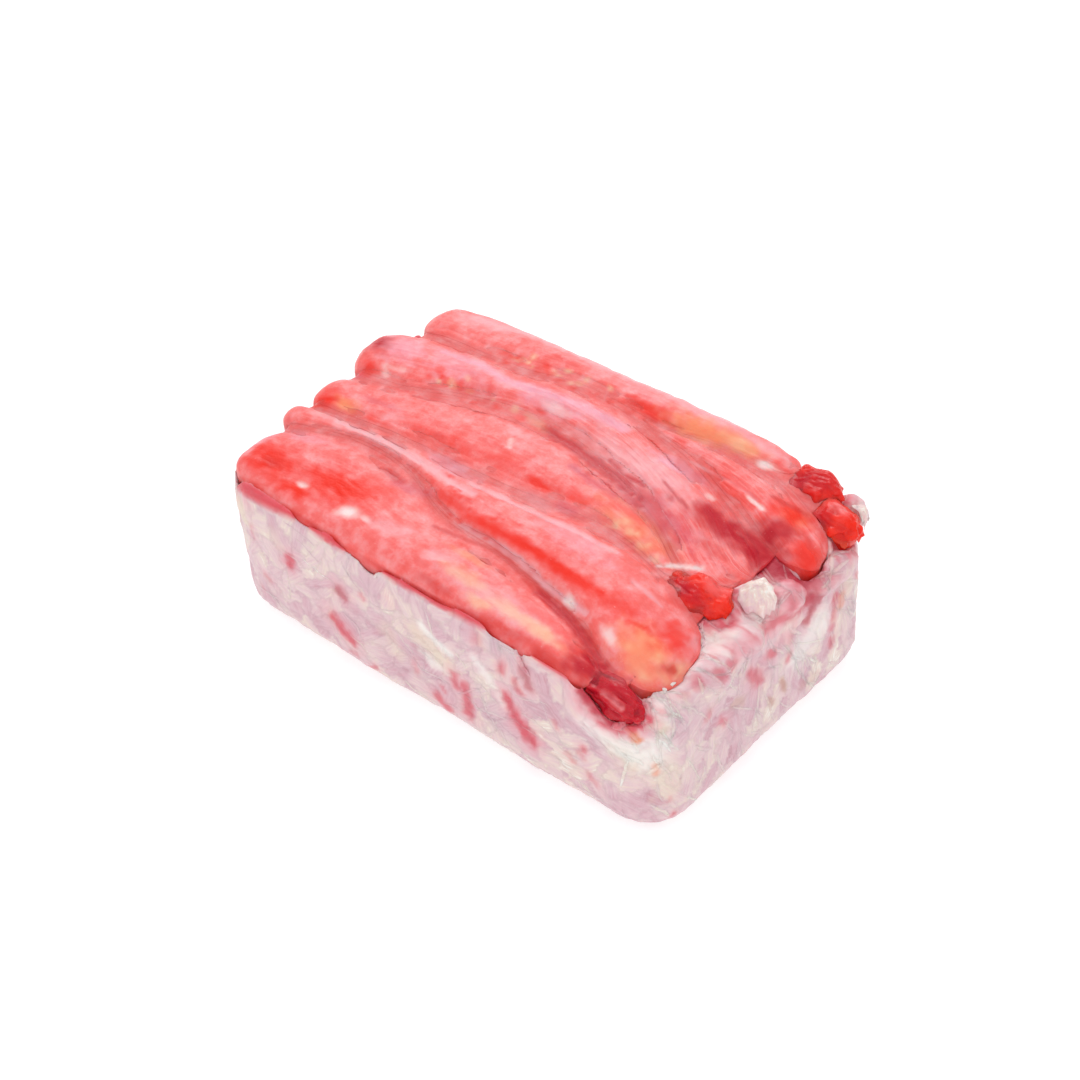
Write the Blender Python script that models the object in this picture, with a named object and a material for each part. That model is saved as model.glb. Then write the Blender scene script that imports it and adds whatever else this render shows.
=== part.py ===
"""A frozen block of king crab leg meat: whole leg meats laid side by side on a pressed bed of shredded meat.

The block lies as it is served, with the leg meats on top. X runs along the legs, Y across them, Z is up,
and the origin is the middle of the block's footprint, on the surface that it lies on.
"""

import math

import bmesh
import bpy
from mathutils import Vector, noise

# Driving sizes of the whole block, in metres.
BLOCK_LENGTH = 0.178
BLOCK_WIDTH = 0.115
BED_TOP = 0.049
CORNER_RADIUS = 0.016
FOOT_RADIUS = 0.010
SHOULDER_RADIUS = 0.005
NEAR_END_LEAN = 0.005
FAR_END_LEAN = 0.004

# Space between pieces that touch, and the share of it that each side gives.
PIECE_GAP = 0.0004
HALF_GAP = PIECE_GAP / 2

# Relief of the pressed sides: slow waves from the mould, and bumps of the size of a flake.
WAVE_SIZE, WAVE_DEPTH = 0.034, 0.0018
FLAKE_SIZE, FLAKE_DEPTH = 0.0075, 0.0010
LEG_LUMP_SIZE, LEG_LUMP_DEPTH = 0.021, 0.0011

# How finely each form is faceted.
SIDE_COLUMNS, SIDE_ROWS = 116, 10
LEG_AROUND, LEG_ALONG = 16, 26
SHRED_AROUND, SHRED_ALONG = 10, 7

MM = 0.001

# The lines, in millimetres as (x, y), where one leg meat meets the next, from the front side to the back.
FRONT_SIDE = [(-90, -54), (-60, -56.5), (0, -56.5), (60, -57), (90, -56)]
FIRST_GROOVE = [(-90, -27), (-60, -19), (-40, -20), (-18, -29), (10, -32), (40, -38), (62, -48), (80, -55)]
SECOND_GROOVE = [(-90, -14), (-60, -11), (-30, -9), (0, -6.5), (28, -3), (45, -5), (62, -11), (84, -16)]
THIRD_GROOVE = [(-92, 6), (-70, 10), (-48, 19), (-24, 25), (0, 22), (20, 15), (40, 6), (56, -4), (84, -8)]
FOURTH_GROOVE = [(-92, 34), (-75, 39), (-48, 40), (-20, 45), (4, 44), (22, 41), (46, 32), (64, 25), (86, 21)]
FIFTH_GROOVE = [(-92, 34), (-75, 39), (-48, 40), (-20, 45), (4, 46), (26, 49), (46, 51), (60, 48), (88, 36)]
BACK_SIDE = [(-90, 59), (-50, 61.5), (0, 63.5), (50, 64), (90, 61)]

# Each leg meat: its two sides, its ends in x, and its crest and widest height along x, in millimetres.
LEG_MEATS = {
    "leg_meat_1": {
        "sides": (FRONT_SIDE, FIRST_GROOVE),
        "ends": (-90, 62),
        "crest": [(-90, 56.5), (-40, 56.5), (20, 55), (62, 52)],
        "widest": [(-90, 51.5), (0, 49.5), (62, 47)],
    },
    "leg_meat_2": {
        "sides": (FIRST_GROOVE, SECOND_GROOVE),
        "ends": (-93.5, 79),
        "crest": [(-93.5, 55.5), (-40, 57), (10, 58.5), (50, 58.5), (79, 55)],
        "widest": [(-93.5, 50), (20, 49), (79, 46)],
    },
    "leg_meat_3": {
        "sides": (SECOND_GROOVE, THIRD_GROOVE),
        "ends": (-93.5, 56),
        "crest": [(-93.5, 55), (-60, 57), (-30, 58), (30, 57), (56, 54)],
        "widest": [(-93.5, 49), (56, 49)],
    },
    "leg_meat_4": {
        "sides": (THIRD_GROOVE, FOURTH_GROOVE),
        "ends": (-95.5, 71),
        "crest": [(-95.5, 57), (-50, 58.5), (0, 58), (40, 56.5), (71, 54)],
        "widest": [(-95.5, 50), (71, 48)],
    },
    "leg_meat_5": {
        "sides": (FOURTH_GROOVE, FIFTH_GROOVE),
        "ends": (0, 82),
        "crest": [(0, 55), (40, 57.5), (82, 55)],
        "widest": [(0, 50), (82, 47)],
    },
    "leg_meat_6": {
        "sides": (FIFTH_GROOVE, BACK_SIDE),
        "ends": (-90, 57),
        "crest": [(-90, 55), (-50, 57), (20, 59), (57, 57.5)],
        "widest": [(-90, 49), (57, 49)],
    },
}
LEG_UNDERSIDE = 13 * MM
LEG_SQUARENESS = 2.5
LEG_END_BLUNTNESS = 6

# Torn pieces at the near end, in millimetres: middle, half sizes, and turn about Z in degrees.
SHREDS = {
    "red_shred_1": {"at": (64, -6, 52.5), "half": (11, 7, 4.5), "turn": 0, "red": True},
    "red_shred_2": {"at": (64, 54.5, 54), "half": (9, 7, 6), "turn": -15, "red": True},
    "red_shred_3": {"at": (77, 46, 51.5), "half": (8.5, 7, 6), "turn": 10, "red": True},
    "red_shred_4": {"at": (68, -53, 48), "half": (12, 5, 5), "turn": -8, "red": True},
    "white_shred_1": {"at": (77, 4, 51.5), "half": (6, 6.5, 6.5), "turn": 10, "red": False},
    "white_shred_2": {"at": (79, 55, 50), "half": (4, 4, 5.5), "turn": 0, "red": False},
}

# Swellings of the bed, in the same terms: its torn flesh rises along the front side and round the near end.
SWELLINGS = [
    {"at": (-65, -53.5, 45), "half": (18, 4.5, 6.5), "turn": 0},
    {"at": (-40, -53.5, 44), "half": (22, 4.5, 6), "turn": 0},
    {"at": (-10, -53.5, 43.5), "half": (22, 4.5, 5.5), "turn": 0},
    {"at": (16, -53.5, 45), "half": (17, 4.5, 6), "turn": 0},
    {"at": (44, -53.5, 43), "half": (19, 4.5, 5.5), "turn": 0},
    {"at": (73, 57, 47), "half": (7, 4, 6), "turn": 0},
    {"at": (77, -45, 43), "half": (9, 9, 7.5), "turn": 0},
    {"at": (81, -27, 44), "half": (6, 14, 7.5), "turn": 0},
    {"at": (79, -8, 46), "half": (8, 10, 6), "turn": 0},
    {"at": (80, 14, 46), "half": (6, 9, 6), "turn": 0},
    {"at": (83, 36, 44), "half": (5, 12, 6), "turn": 0},
]


def smooth_line(stations, x):
    """The height at x of a smooth curve through the stations, (x, value) pairs in rising x."""
    if x <= stations[0][0]:
        return stations[0][1]
    if x >= stations[-1][0]:
        return stations[-1][1]
    i = max(k for k in range(len(stations) - 1) if stations[k][0] <= x)
    (x0, y0), (x1, y1) = stations[i], stations[i + 1]
    before = stations[max(i - 1, 0)]
    after = stations[min(i + 2, len(stations) - 1)]
    slope_in = (y1 - before[1]) / (x1 - before[0])
    slope_out = (after[1] - y0) / (after[0] - x0)
    run = x1 - x0
    t = (x - x0) / run
    return (
        y0 * (1 + 2 * t) * (1 - t) ** 2
        + slope_in * run * t * (1 - t) ** 2
        + y1 * t * t * (3 - 2 * t)
        + slope_out * run * t * t * (t - 1)
    )


def clear_scene():
    for obj in list(bpy.data.objects):
        bpy.data.objects.remove(obj)


def new_collection(name):
    collection = bpy.data.collections.new(name)
    bpy.context.scene.collection.children.link(collection)
    return collection


def new_material(name, colour, roughness):
    material = bpy.data.materials.new(name)
    material.use_nodes = True
    shader = material.node_tree.nodes["Principled BSDF"]
    shader.inputs["Base Color"].default_value = (*colour, 1.0)
    shader.inputs["Roughness"].default_value = roughness
    shader.inputs["Metallic"].default_value = 0.0
    return material


def mesh_object(name, bm, collection, material=None):
    """The bmesh as a new object in the collection, in triangles that point out."""
    bmesh.ops.triangulate(bm, faces=bm.faces)
    if bm.calc_volume(signed=True) < 0:
        bmesh.ops.reverse_faces(bm, faces=bm.faces)
    mesh = bpy.data.meshes.new(name)
    bm.to_mesh(mesh)
    bm.free()
    obj = bpy.data.objects.new(name, mesh)
    if material:
        mesh.materials.append(material)
    collection.objects.link(obj)
    return obj


def as_cutter(obj):
    obj.hide_render = True
    obj.display_type = "WIRE"
    return obj


def signed_power(value, exponent):
    return math.copysign(abs(value) ** exponent, value)


def leg_point(leg, along, round_angle, extra):
    """A point on a leg meat. along runs from 0 at its left end to 1 at its right; extra fattens it."""
    left, right = leg["ends"]
    left, right = left - extra / MM, right + extra / MM
    x = left + (right - left) * along
    near = smooth_line(leg["sides"][0], x) * MM + HALF_GAP - extra
    far = smooth_line(leg["sides"][1], x) * MM - HALF_GAP + extra
    crest = smooth_line(leg["crest"], x) * MM
    widest = smooth_line(leg["widest"], x) * MM
    fullness = (1 - abs(2 * along - 1) ** LEG_END_BLUNTNESS) ** (1 / LEG_END_BLUNTNESS)
    half_width = (far - near) / 2 * fullness
    across = signed_power(math.cos(round_angle), 2 / LEG_SQUARENESS)
    upward = signed_power(math.sin(round_angle), 2 / LEG_SQUARENESS)
    lump = noise.noise(Vector((x * MM / LEG_LUMP_SIZE, near / LEG_LUMP_SIZE + across, 1.7)))
    reach = (crest - widest + LEG_LUMP_DEPTH * lump if upward > 0 else LEG_UNDERSIDE) + extra
    return Vector((x * MM, (near + far) / 2 + half_width * across, widest + reach * fullness * upward))


def make_leg(name, leg, collection, material=None, extra=0.0):
    """A leg meat as a sphere whose rings are drawn out along the leg and pressed to its section."""
    bm = bmesh.new()
    bmesh.ops.create_uvsphere(bm, u_segments=LEG_AROUND, v_segments=LEG_ALONG, radius=1)
    for vertex in bm.verts:
        ring_angle = math.acos(max(-1.0, min(1.0, vertex.co.z)))
        even = ring_angle / math.pi
        along = 0.35 * (1 - math.cos(ring_angle)) / 2 + 0.65 * even
        vertex.co = leg_point(leg, along, math.atan2(vertex.co.y, vertex.co.x), extra)
    return mesh_object(name, bm, collection, material)


def make_shred(name, shred, collection, material=None, extra=0.0):
    """A torn piece: an uneven ellipsoid with a lumpy skin."""
    bm = bmesh.new()
    bmesh.ops.create_uvsphere(bm, u_segments=SHRED_AROUND, v_segments=SHRED_ALONG, radius=1)
    middle = Vector(shred["at"]) * MM
    turn = math.radians(shred["turn"])
    for vertex in bm.verts:
        lump = 1 + 0.22 * noise.noise(vertex.co * 1.4 + middle * 90)
        x, y, z = (vertex.co[i] * (shred["half"][i] * MM * lump + extra) for i in range(3))
        turned = Vector((x * math.cos(turn) - y * math.sin(turn), x * math.sin(turn) + y * math.cos(turn), z))
        vertex.co = middle + turned
    return mesh_object(name, bm, collection, material)


def outline_point(share):
    """A point and its outward direction on the bed's rounded outline, share of the way round it."""
    half_x, half_y = BLOCK_LENGTH / 2 - CORNER_RADIUS, BLOCK_WIDTH / 2 - CORNER_RADIUS
    quarter = math.pi / 2 * CORNER_RADIUS
    runs = [2 * half_y, quarter, 2 * half_x, quarter] * 2
    left = share * sum(runs)
    corners = [(half_x, half_y, 0), (-half_x, half_y, 1), (-half_x, -half_y, 2), (half_x, -half_y, 3)]
    for i, (corner_x, corner_y, turns) in enumerate(corners):
        straight, bend = runs[2 * i], runs[2 * i + 1]
        facing = turns * math.pi / 2
        if left <= straight:
            back = straight - left
            outward = Vector((math.cos(facing), math.sin(facing)))
            point = Vector((corner_x, corner_y)) + outward * CORNER_RADIUS
            return point - Vector((-outward.y, outward.x)) * back, outward
        left -= straight
        if left <= bend or i == 3:
            angle = facing + min(left / bend, 1.0) * math.pi / 2
            outward = Vector((math.cos(angle), math.sin(angle)))
            return Vector((corner_x, corner_y)) + outward * CORNER_RADIUS, outward
        left -= bend
    return None


def side_inset(height):
    """How far the rounded foot and the rounded shoulder draw the side in at this height."""
    if height < FOOT_RADIUS:
        return FOOT_RADIUS - math.sqrt(FOOT_RADIUS**2 - (FOOT_RADIUS - height) ** 2)
    over = height - (BED_TOP - SHOULDER_RADIUS)
    if over > 0:
        return SHOULDER_RADIUS - math.sqrt(max(SHOULDER_RADIUS**2 - over**2, 0))
    return 0.0


def side_relief(point):
    """How far the side stands out at a point, from the mould's waves and the flakes pressed into it."""
    waves = WAVE_DEPTH * noise.noise(point / WAVE_SIZE)
    flakes = FLAKE_DEPTH * noise.noise(point / FLAKE_SIZE + Vector((3.1, 0.4, 7.7)))
    return waves + flakes


def make_bed(name, collection, material):
    """The pressed bed: a prism whose sides are bent to the rounded outline, with a flat foot."""
    bm = bmesh.new()
    bmesh.ops.create_cone(
        bm, cap_ends=True, cap_tris=False, segments=SIDE_COLUMNS, radius1=1, radius2=1, depth=1
    )
    upright = [e for e in bm.edges if abs(e.verts[0].co.z - e.verts[1].co.z) > 0.5]
    bmesh.ops.subdivide_edges(bm, edges=upright, cuts=SIDE_ROWS - 1, use_grid_fill=True)
    for vertex in bm.verts:
        share = (math.atan2(vertex.co.y, vertex.co.x) / math.tau) % 1.0
        level = vertex.co.z + 0.5
        even = 0.5 - 0.5 * math.cos(math.pi * level)
        height = BED_TOP * (0.45 * even + 0.55 * level)
        flat, outward = outline_point(share)
        rise = height / BED_TOP
        lean = NEAR_END_LEAN * rise * max(outward.x, 0) + FAR_END_LEAN * (1 - rise) * max(-outward.x, 0)
        side = Vector((flat.x, flat.y, height))
        fade = min(height / FOOT_RADIUS, 1.0)
        stand_out = side_relief(side) * fade - side_inset(height) - lean
        vertex.co = side + stand_out * Vector((outward.x, outward.y, 0))
    return mesh_object(name, bm, collection, material)


def combine(obj, others, operation):
    """Joins every object of the collection to obj, or cuts it out of obj, and keeps the result."""
    step = obj.modifiers.new("combine", "BOOLEAN")
    step.operation = operation
    step.operand_type = "COLLECTION"
    step.collection = others
    step.solver = "EXACT"
    graph = bpy.context.evaluated_depsgraph_get()
    result = bpy.data.meshes.new_from_object(obj.evaluated_get(graph))
    obj.modifiers.clear()
    obj.data = result


def drop_scraps(obj):
    """Keeps only the largest body of a carved mesh."""
    bm = bmesh.new()
    bm.from_mesh(obj.data)
    unseen = set(bm.verts)
    bodies = []
    while unseen:
        body, front = set(), [unseen.pop()]
        while front:
            vertex = front.pop()
            body.add(vertex)
            for edge in vertex.link_edges:
                other = edge.other_vert(vertex)
                if other in unseen:
                    unseen.remove(other)
                    front.append(other)
        bodies.append(body)
    bodies.sort(key=len)
    for scrap in bodies[:-1]:
        bmesh.ops.delete(bm, geom=list(scrap), context="VERTS")
    bm.to_mesh(obj.data)
    bm.free()


def centre_on_origin(objects):
    """Moves the finished pieces together, so that the footprint's middle is the origin."""
    corners = [v.co for obj in objects for v in obj.data.vertices]
    middle = [(min(c[i] for c in corners) + max(c[i] for c in corners)) / 2 for i in range(2)]
    lowest = min(c.z for c in corners)
    for obj in objects:
        for vertex in obj.data.vertices:
            vertex.co -= Vector((middle[0], middle[1], lowest))
    print("moved to the origin by", [round(-value / MM, 2) for value in (*middle, lowest)], "mm")


def build():
    clear_scene()
    parts = new_collection("king_crab_leg_block")
    cutters = new_collection("cutters")
    red_skin = new_material("red_skin", (0.86, 0.22, 0.19), 0.38)
    red_flesh = new_material("red_flesh", (0.62, 0.04, 0.05), 0.40)
    white_flesh = new_material("white_flesh", (0.80, 0.68, 0.66), 0.50)

    legs = []
    for name, leg in LEG_MEATS.items():
        legs.append(make_leg(name, leg, parts, red_skin))
        as_cutter(make_leg(f"around_{name}", leg, cutters, extra=PIECE_GAP))

    shreds = []
    for name, shred in SHREDS.items():
        flesh = red_flesh if shred["red"] else white_flesh
        piece = make_shred(name, shred, parts, flesh)
        combine(piece, cutters, "DIFFERENCE")
        drop_scraps(piece)
        shreds.append(piece)
        as_cutter(make_shred(f"around_{name}", shred, cutters, extra=PIECE_GAP))

    swellings = new_collection("swellings")
    for i, swelling in enumerate(SWELLINGS, 1):
        as_cutter(make_shred(f"swelling_{i}", swelling, swellings))
    bed = make_bed("shredded_meat_bed", parts, white_flesh)
    combine(bed, swellings, "UNION")
    combine(bed, cutters, "DIFFERENCE")
    drop_scraps(bed)
    centre_on_origin([bed, *legs, *shreds])


build()
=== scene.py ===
# %% [markdown]
# # A frozen block of king crab leg meat
# Cooked crab legs are taken out of their shells, laid side by side in a box on a bed of loose
# shredded meat, and frozen into one block. What you see is six whole legs with their thin red
# skin on top, a pale pressed mass of shreds under them, and a few torn bits at one end.
#
# The solid model gives the size and place of each piece. Everything here is wrapped round it,
# so we load it first and keep its box.

# %% Load the frame
import itertools
import math

import bmesh
import bpy
import numpy as np
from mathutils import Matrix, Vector
from mathutils.bvhtree import BVHTree
from mathutils.kdtree import KDTree


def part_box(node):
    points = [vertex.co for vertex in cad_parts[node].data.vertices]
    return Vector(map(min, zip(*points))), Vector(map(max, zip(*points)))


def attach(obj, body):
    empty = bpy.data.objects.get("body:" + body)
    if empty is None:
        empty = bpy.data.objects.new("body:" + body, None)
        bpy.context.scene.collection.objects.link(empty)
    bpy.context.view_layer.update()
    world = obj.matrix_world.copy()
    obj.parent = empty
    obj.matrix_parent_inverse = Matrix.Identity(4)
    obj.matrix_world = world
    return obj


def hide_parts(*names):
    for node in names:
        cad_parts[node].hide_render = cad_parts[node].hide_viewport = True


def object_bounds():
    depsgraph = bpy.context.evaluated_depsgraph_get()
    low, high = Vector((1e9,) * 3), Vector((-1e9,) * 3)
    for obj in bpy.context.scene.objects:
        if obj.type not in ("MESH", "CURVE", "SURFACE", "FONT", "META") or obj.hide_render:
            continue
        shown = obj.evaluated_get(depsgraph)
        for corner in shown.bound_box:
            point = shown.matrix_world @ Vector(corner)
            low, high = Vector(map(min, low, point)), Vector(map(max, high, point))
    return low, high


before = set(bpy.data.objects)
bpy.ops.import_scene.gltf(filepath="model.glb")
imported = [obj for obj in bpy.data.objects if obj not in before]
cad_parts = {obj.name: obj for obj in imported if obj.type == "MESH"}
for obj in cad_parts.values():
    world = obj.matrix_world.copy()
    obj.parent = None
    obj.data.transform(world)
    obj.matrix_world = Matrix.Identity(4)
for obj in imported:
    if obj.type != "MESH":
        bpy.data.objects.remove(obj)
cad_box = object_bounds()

MM = 0.001
LEGS = [f"leg_meat_{number}" for number in range(1, 7)]
RED_BITS = [f"red_shred_{number}" for number in range(1, 5)]
WHITE_BITS = ["white_shred_1", "white_shred_2"]
BED = "shredded_meat_bed"
print("the block is", [round(side / MM, 1) for side in cad_box[1] - cad_box[0]], "mm")

# %% [markdown]
# ## The camera
# The photograph looks down on one corner of the block from about 42 degrees, from far enough
# away that the far end is hardly smaller than the near one. A long lens at that distance does
# the same. The aim point, the two angles and the distance were matched to the block's outline.

# %% Camera
CAMERA_AZIMUTH = math.radians(39.4)
CAMERA_ELEVATION = math.radians(41.95)
CAMERA_DISTANCE = 0.860
AIM = Vector((-3.1, 1.8, 28.0)) * MM
FRAME_PIXELS = 1080
FOCAL_PIXELS = 2701.5
SENSOR_WIDTH = 36.0

away = Vector((
    math.sin(CAMERA_AZIMUTH) * math.cos(CAMERA_ELEVATION),
    -math.cos(CAMERA_AZIMUTH) * math.cos(CAMERA_ELEVATION),
    math.sin(CAMERA_ELEVATION),
))
camera_data = bpy.data.cameras.new("photo_camera")
camera_data.sensor_width = SENSOR_WIDTH
camera_data.lens = FOCAL_PIXELS / FRAME_PIXELS * SENSOR_WIDTH
camera_data.clip_start = 0.01
camera = bpy.data.objects.new("photo_camera", camera_data)
camera.location = AIM + away * CAMERA_DISTANCE
camera.rotation_euler = (-away).to_track_quat("-Z", "Y").to_euler()
bpy.context.scene.collection.objects.link(camera)
bpy.context.scene.camera = camera
print("camera lens", round(camera_data.lens, 1), "mm")

# %% [markdown]
# ## Colours and nodes
# Colours are written as hex values, as a paint program shows them, and one function turns them
# into the linear values that the renderer works with. A second small function adds a shader or
# geometry node, sets it up and links it in one call, so that the trees below stay short.

# %% Helpers for colours and nodes
def hex_colour(text):
    """A six-digit sRGB hex value as linear red, green, blue and a full alpha."""
    channels = [int(text[at:at + 2], 16) / 255 for at in (0, 2, 4)]
    linear = [c / 12.92 if c <= 0.04045 else ((c + 0.055) / 1.055) ** 2.4 for c in channels]
    return (*linear, 1.0)


def add_node(tree, kind, inputs=None, **settings):
    """Adds a node with its settings; an input is a plain value or the socket to link from."""
    node = tree.nodes.new(kind)
    for name, value in settings.items():
        setattr(node, name, value)
    for name, value in (inputs or {}).items():
        if isinstance(value, bpy.types.NodeSocket):
            tree.links.new(value, node.inputs[name])
        else:
            node.inputs[name].default_value = value
    return node


MIX_FACTOR, MIX_A, MIX_B, MIX_RESULT = 0, 6, 7, 2


def blend_colour(tree, base, colour, share):
    """The colour socket of base with a share of another colour over it."""
    return add_node(
        tree, "ShaderNodeMix", {MIX_FACTOR: share, MIX_A: base, MIX_B: colour}, data_type="RGBA",
    ).outputs[MIX_RESULT]


def remap(tree, value, low, high, to_low=0.0, to_high=1.0):
    """A value socket stretched from one range to another, held inside the new one."""
    return add_node(
        tree, "ShaderNodeMapRange",
        {"Value": value, "From Min": low, "From Max": high, "To Min": to_low, "To Max": to_high},
    ).outputs["Result"]


def times(tree, first, second):
    """The product of two values or value sockets."""
    return add_node(tree, "ShaderNodeMath", {0: first, 1: second}, operation="MULTIPLY").outputs[0]


print("white is", hex_colour("FFFFFF"), "as linear light")

# %% [markdown]
# ## Unevenness
# Meat has no straight edge. Every bump, streak and ragged border below comes from one smooth
# noise function: random slopes on a grid of unit cells, blended between the corners. Scaling
# the points before the call sets the size of the bumps in millimetres, and stretching them
# turns round bumps into fibres. It is seeded, so each run gives the same block.

# %% Smooth noise
NOISE_ORDER = np.random.default_rng(11).permutation(256)
NOISE_SLOPES = np.random.default_rng(12).normal(size=(256, 3))
NOISE_SLOPES /= np.linalg.norm(NOISE_SLOPES, axis=1)[:, None]
NOISE_GAIN = 1.6
SEED_STRIDE = 17.3


def uneven(points, size, seed=0):
    """Smooth noise of about -1 to 1 at each row of points, with bumps of that size."""
    scaled = np.asarray(points) / np.asarray(size) + seed * SEED_STRIDE
    cell = np.floor(scaled).astype(int)
    inside = scaled - cell
    fade = inside ** 3 * (inside * (inside * 6 - 15) + 10)
    total = np.zeros(len(scaled))
    for corner in itertools.product((0, 1), repeat=3):
        x, y, z = ((cell + corner) & 255).T
        pick = NOISE_ORDER[(x + NOISE_ORDER[(y + NOISE_ORDER[z]) & 255]) & 255]
        weight = np.prod(np.where(corner, fade, 1 - fade), axis=1)
        total += weight * np.einsum("ij,ij->i", NOISE_SLOPES[pick], inside - corner)
    return total * NOISE_GAIN


def smooth_step(value, low, high):
    """0 below low, 1 above high and an easy slope between; low may be the larger."""
    share = np.clip((value - low) / (high - low), 0, 1)
    return share * share * (3 - 2 * share)


print("noise from", len(NOISE_SLOPES), "slopes")

# %% [markdown]
# ## Meshes from the solid model
# A node of the solid model is loose triangles, so a copy is merged before anything uses it.
# Two small functions turn arrays of points and faces into an object, and give it the named
# values (how orange, how pale, how deep in a groove) that the materials read.

# %% Mesh helpers
def merged_copy(node):
    """A closed bmesh of a node of the solid model."""
    mesh = bmesh.new()
    mesh.from_mesh(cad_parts[node].data)
    bmesh.ops.remove_doubles(mesh, verts=mesh.verts, dist=1e-6)
    return mesh


def surface_of(node):
    """A node's surface, ready for ray casts and for finding nearest points."""
    mesh = merged_copy(node)
    tree = BVHTree.FromBMesh(mesh)
    mesh.free()
    return tree


def new_piece(name, points, faces, material):
    """A smooth-shaded mesh object from points in metres and faces."""
    mesh = bpy.data.meshes.new(name)
    mesh.from_pydata(points.tolist(), [], faces)
    mesh.shade_smooth()
    mesh.materials.append(material)
    piece = bpy.data.objects.new(name, mesh)
    bpy.context.scene.collection.objects.link(piece)
    return piece


def mesh_points(mesh):
    """A mesh's points as rows of x, y and z."""
    flat = np.zeros(len(mesh.vertices) * 3)
    mesh.vertices.foreach_get("co", flat)
    return flat.reshape(-1, 3)


def mesh_normals(mesh):
    """The normal at each of a mesh's points."""
    flat = np.zeros(len(mesh.vertices) * 3, np.float32)
    mesh.vertex_normals.foreach_get("vector", flat)
    return flat.reshape(-1, 3).astype(float)


def store(mesh, name, values):
    """Keeps a number or a vector at each point under a name that a material can read."""
    values = np.asarray(values, np.float32)
    if values.ndim == 2:
        mesh.attributes.new(name, "FLOAT_VECTOR", "POINT").data.foreach_set("vector", values.ravel())
    else:
        mesh.attributes.new(name, "FLOAT", "POINT").data.foreach_set("value", values)


def put_points(mesh, points):
    """Moves a mesh's points to new places."""
    mesh.vertices.foreach_set("co", points.ravel())
    mesh.update()


def push_out(mesh, amount):
    """Moves each point along its normal by its amount in metres."""
    put_points(mesh, mesh_points(mesh) + mesh_normals(mesh) * np.asarray(amount)[:, None])


surfaces = {node: surface_of(node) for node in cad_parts}
print("read", len(surfaces), "solids")

# %% [markdown]
# ## Painting one by one
# The colours of cooked crab are not even: pigment gathers in orange and red patches, the skin
# is rubbed off on the ridges, and crimson runs along the grooves and crevices, partly dark red
# flesh and partly painted shade; the frost-white marks are partly frost and partly painted
# highlights. Three kinds of mark put that on the meat. A patch is a soft oval seen from above, a
# stroke follows a line, and speckles are small patches strewn along one. All have borders broken
# up by noise, and all only say how much of a named tint there is. A mark is worked out only for
# the points close to it, because there are about two hundred thousand points and more than a
# hundred marks.

# %% Patches and strokes
PATCH_RAGGEDNESS = 0.45
RAGGED_SIZE = 3.2 * MM
PATCH_BORDER = (1.5, 0.2)
STROKE_BORDER = (1.7, 0.1)
SPECKLE_SEED = 100
SPECKLE_SIZES = (0.5, 1.4)
SPECKLE_STRENGTHS = (0.6, 1)


def ragged_step(points, away_from, outside, inside, seed):
    """A mark's strength from how far away it is, with a border broken up by noise."""
    amount = np.zeros(len(points))
    close = away_from < outside + 2 * PATCH_RAGGEDNESS
    ragged = away_from[close] + PATCH_RAGGEDNESS * uneven(points[close], RAGGED_SIZE, seed)
    amount[close] = smooth_step(ragged, outside, inside)
    return amount


def patch(points, centre, half_size, turn=0.0, strength=1.0, seed=0):
    """How strongly an oval mark shows at each point; its centre and sizes are in mm."""
    angle = math.radians(turn)
    offset = points[:, :2] / MM - np.array(centre)
    along = offset[:, 0] * math.cos(angle) + offset[:, 1] * math.sin(angle)
    across = offset[:, 1] * math.cos(angle) - offset[:, 0] * math.sin(angle)
    away_from = np.hypot(along / half_size[0], across / half_size[1])
    return strength * ragged_step(points, away_from, *PATCH_BORDER, seed)


def stroke(points, line, width, strength=1.0, seed=0):
    """How strongly a line of that width in mm shows at each point."""
    flat = points[:, :2] / MM
    nearest = np.full(len(flat), 1e9)
    for start, end in zip(line, line[1:]):
        start, end = np.array(start, float), np.array(end, float)
        share = np.clip((flat - start) @ (end - start) / ((end - start) @ (end - start)), 0, 1)
        gap = flat - start - share[:, None] * (end - start)
        nearest = np.minimum(nearest, np.hypot(gap[:, 0], gap[:, 1]))
    return strength * ragged_step(points, nearest / (width / 2), *STROKE_BORDER, seed)


def speckles(points, line, width, count, size, strength=1.0, seed=0):
    """Small spots strewn at random along a line; width, and the spots' mean size, in mm."""
    rng = np.random.default_rng(SPECKLE_SEED + seed)
    line = np.array(line, float)
    amount = np.zeros(len(points))
    for _ in range(count):
        share = rng.uniform(0, len(line) - 1)
        place = line[int(share)] + (share % 1) * (line[int(share) + 1] - line[int(share)])
        place = place + rng.normal(0, width / 2.5, 2)
        half = size * rng.uniform(*SPECKLE_SIZES, 2) / 2
        turn = rng.uniform(0, 180)
        spot = patch(points, place, half, turn, strength * rng.uniform(*SPECKLE_STRENGTHS), seed)
        amount = np.maximum(amount, spot)
    return amount


def paint(points, marks, names):
    """Adds up a piece's marks: one array for each tint name, each from 0 to 1."""
    tints = {name: np.zeros(len(points)) for name in names}
    for number, (kind, tint, *shape) in enumerate(marks):
        amount = kind(points, *shape, seed=number)
        tints[tint] = np.maximum(tints[tint], amount)
    return tints


print("marks have ragged edges of", RAGGED_SIZE / MM, "mm")
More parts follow.
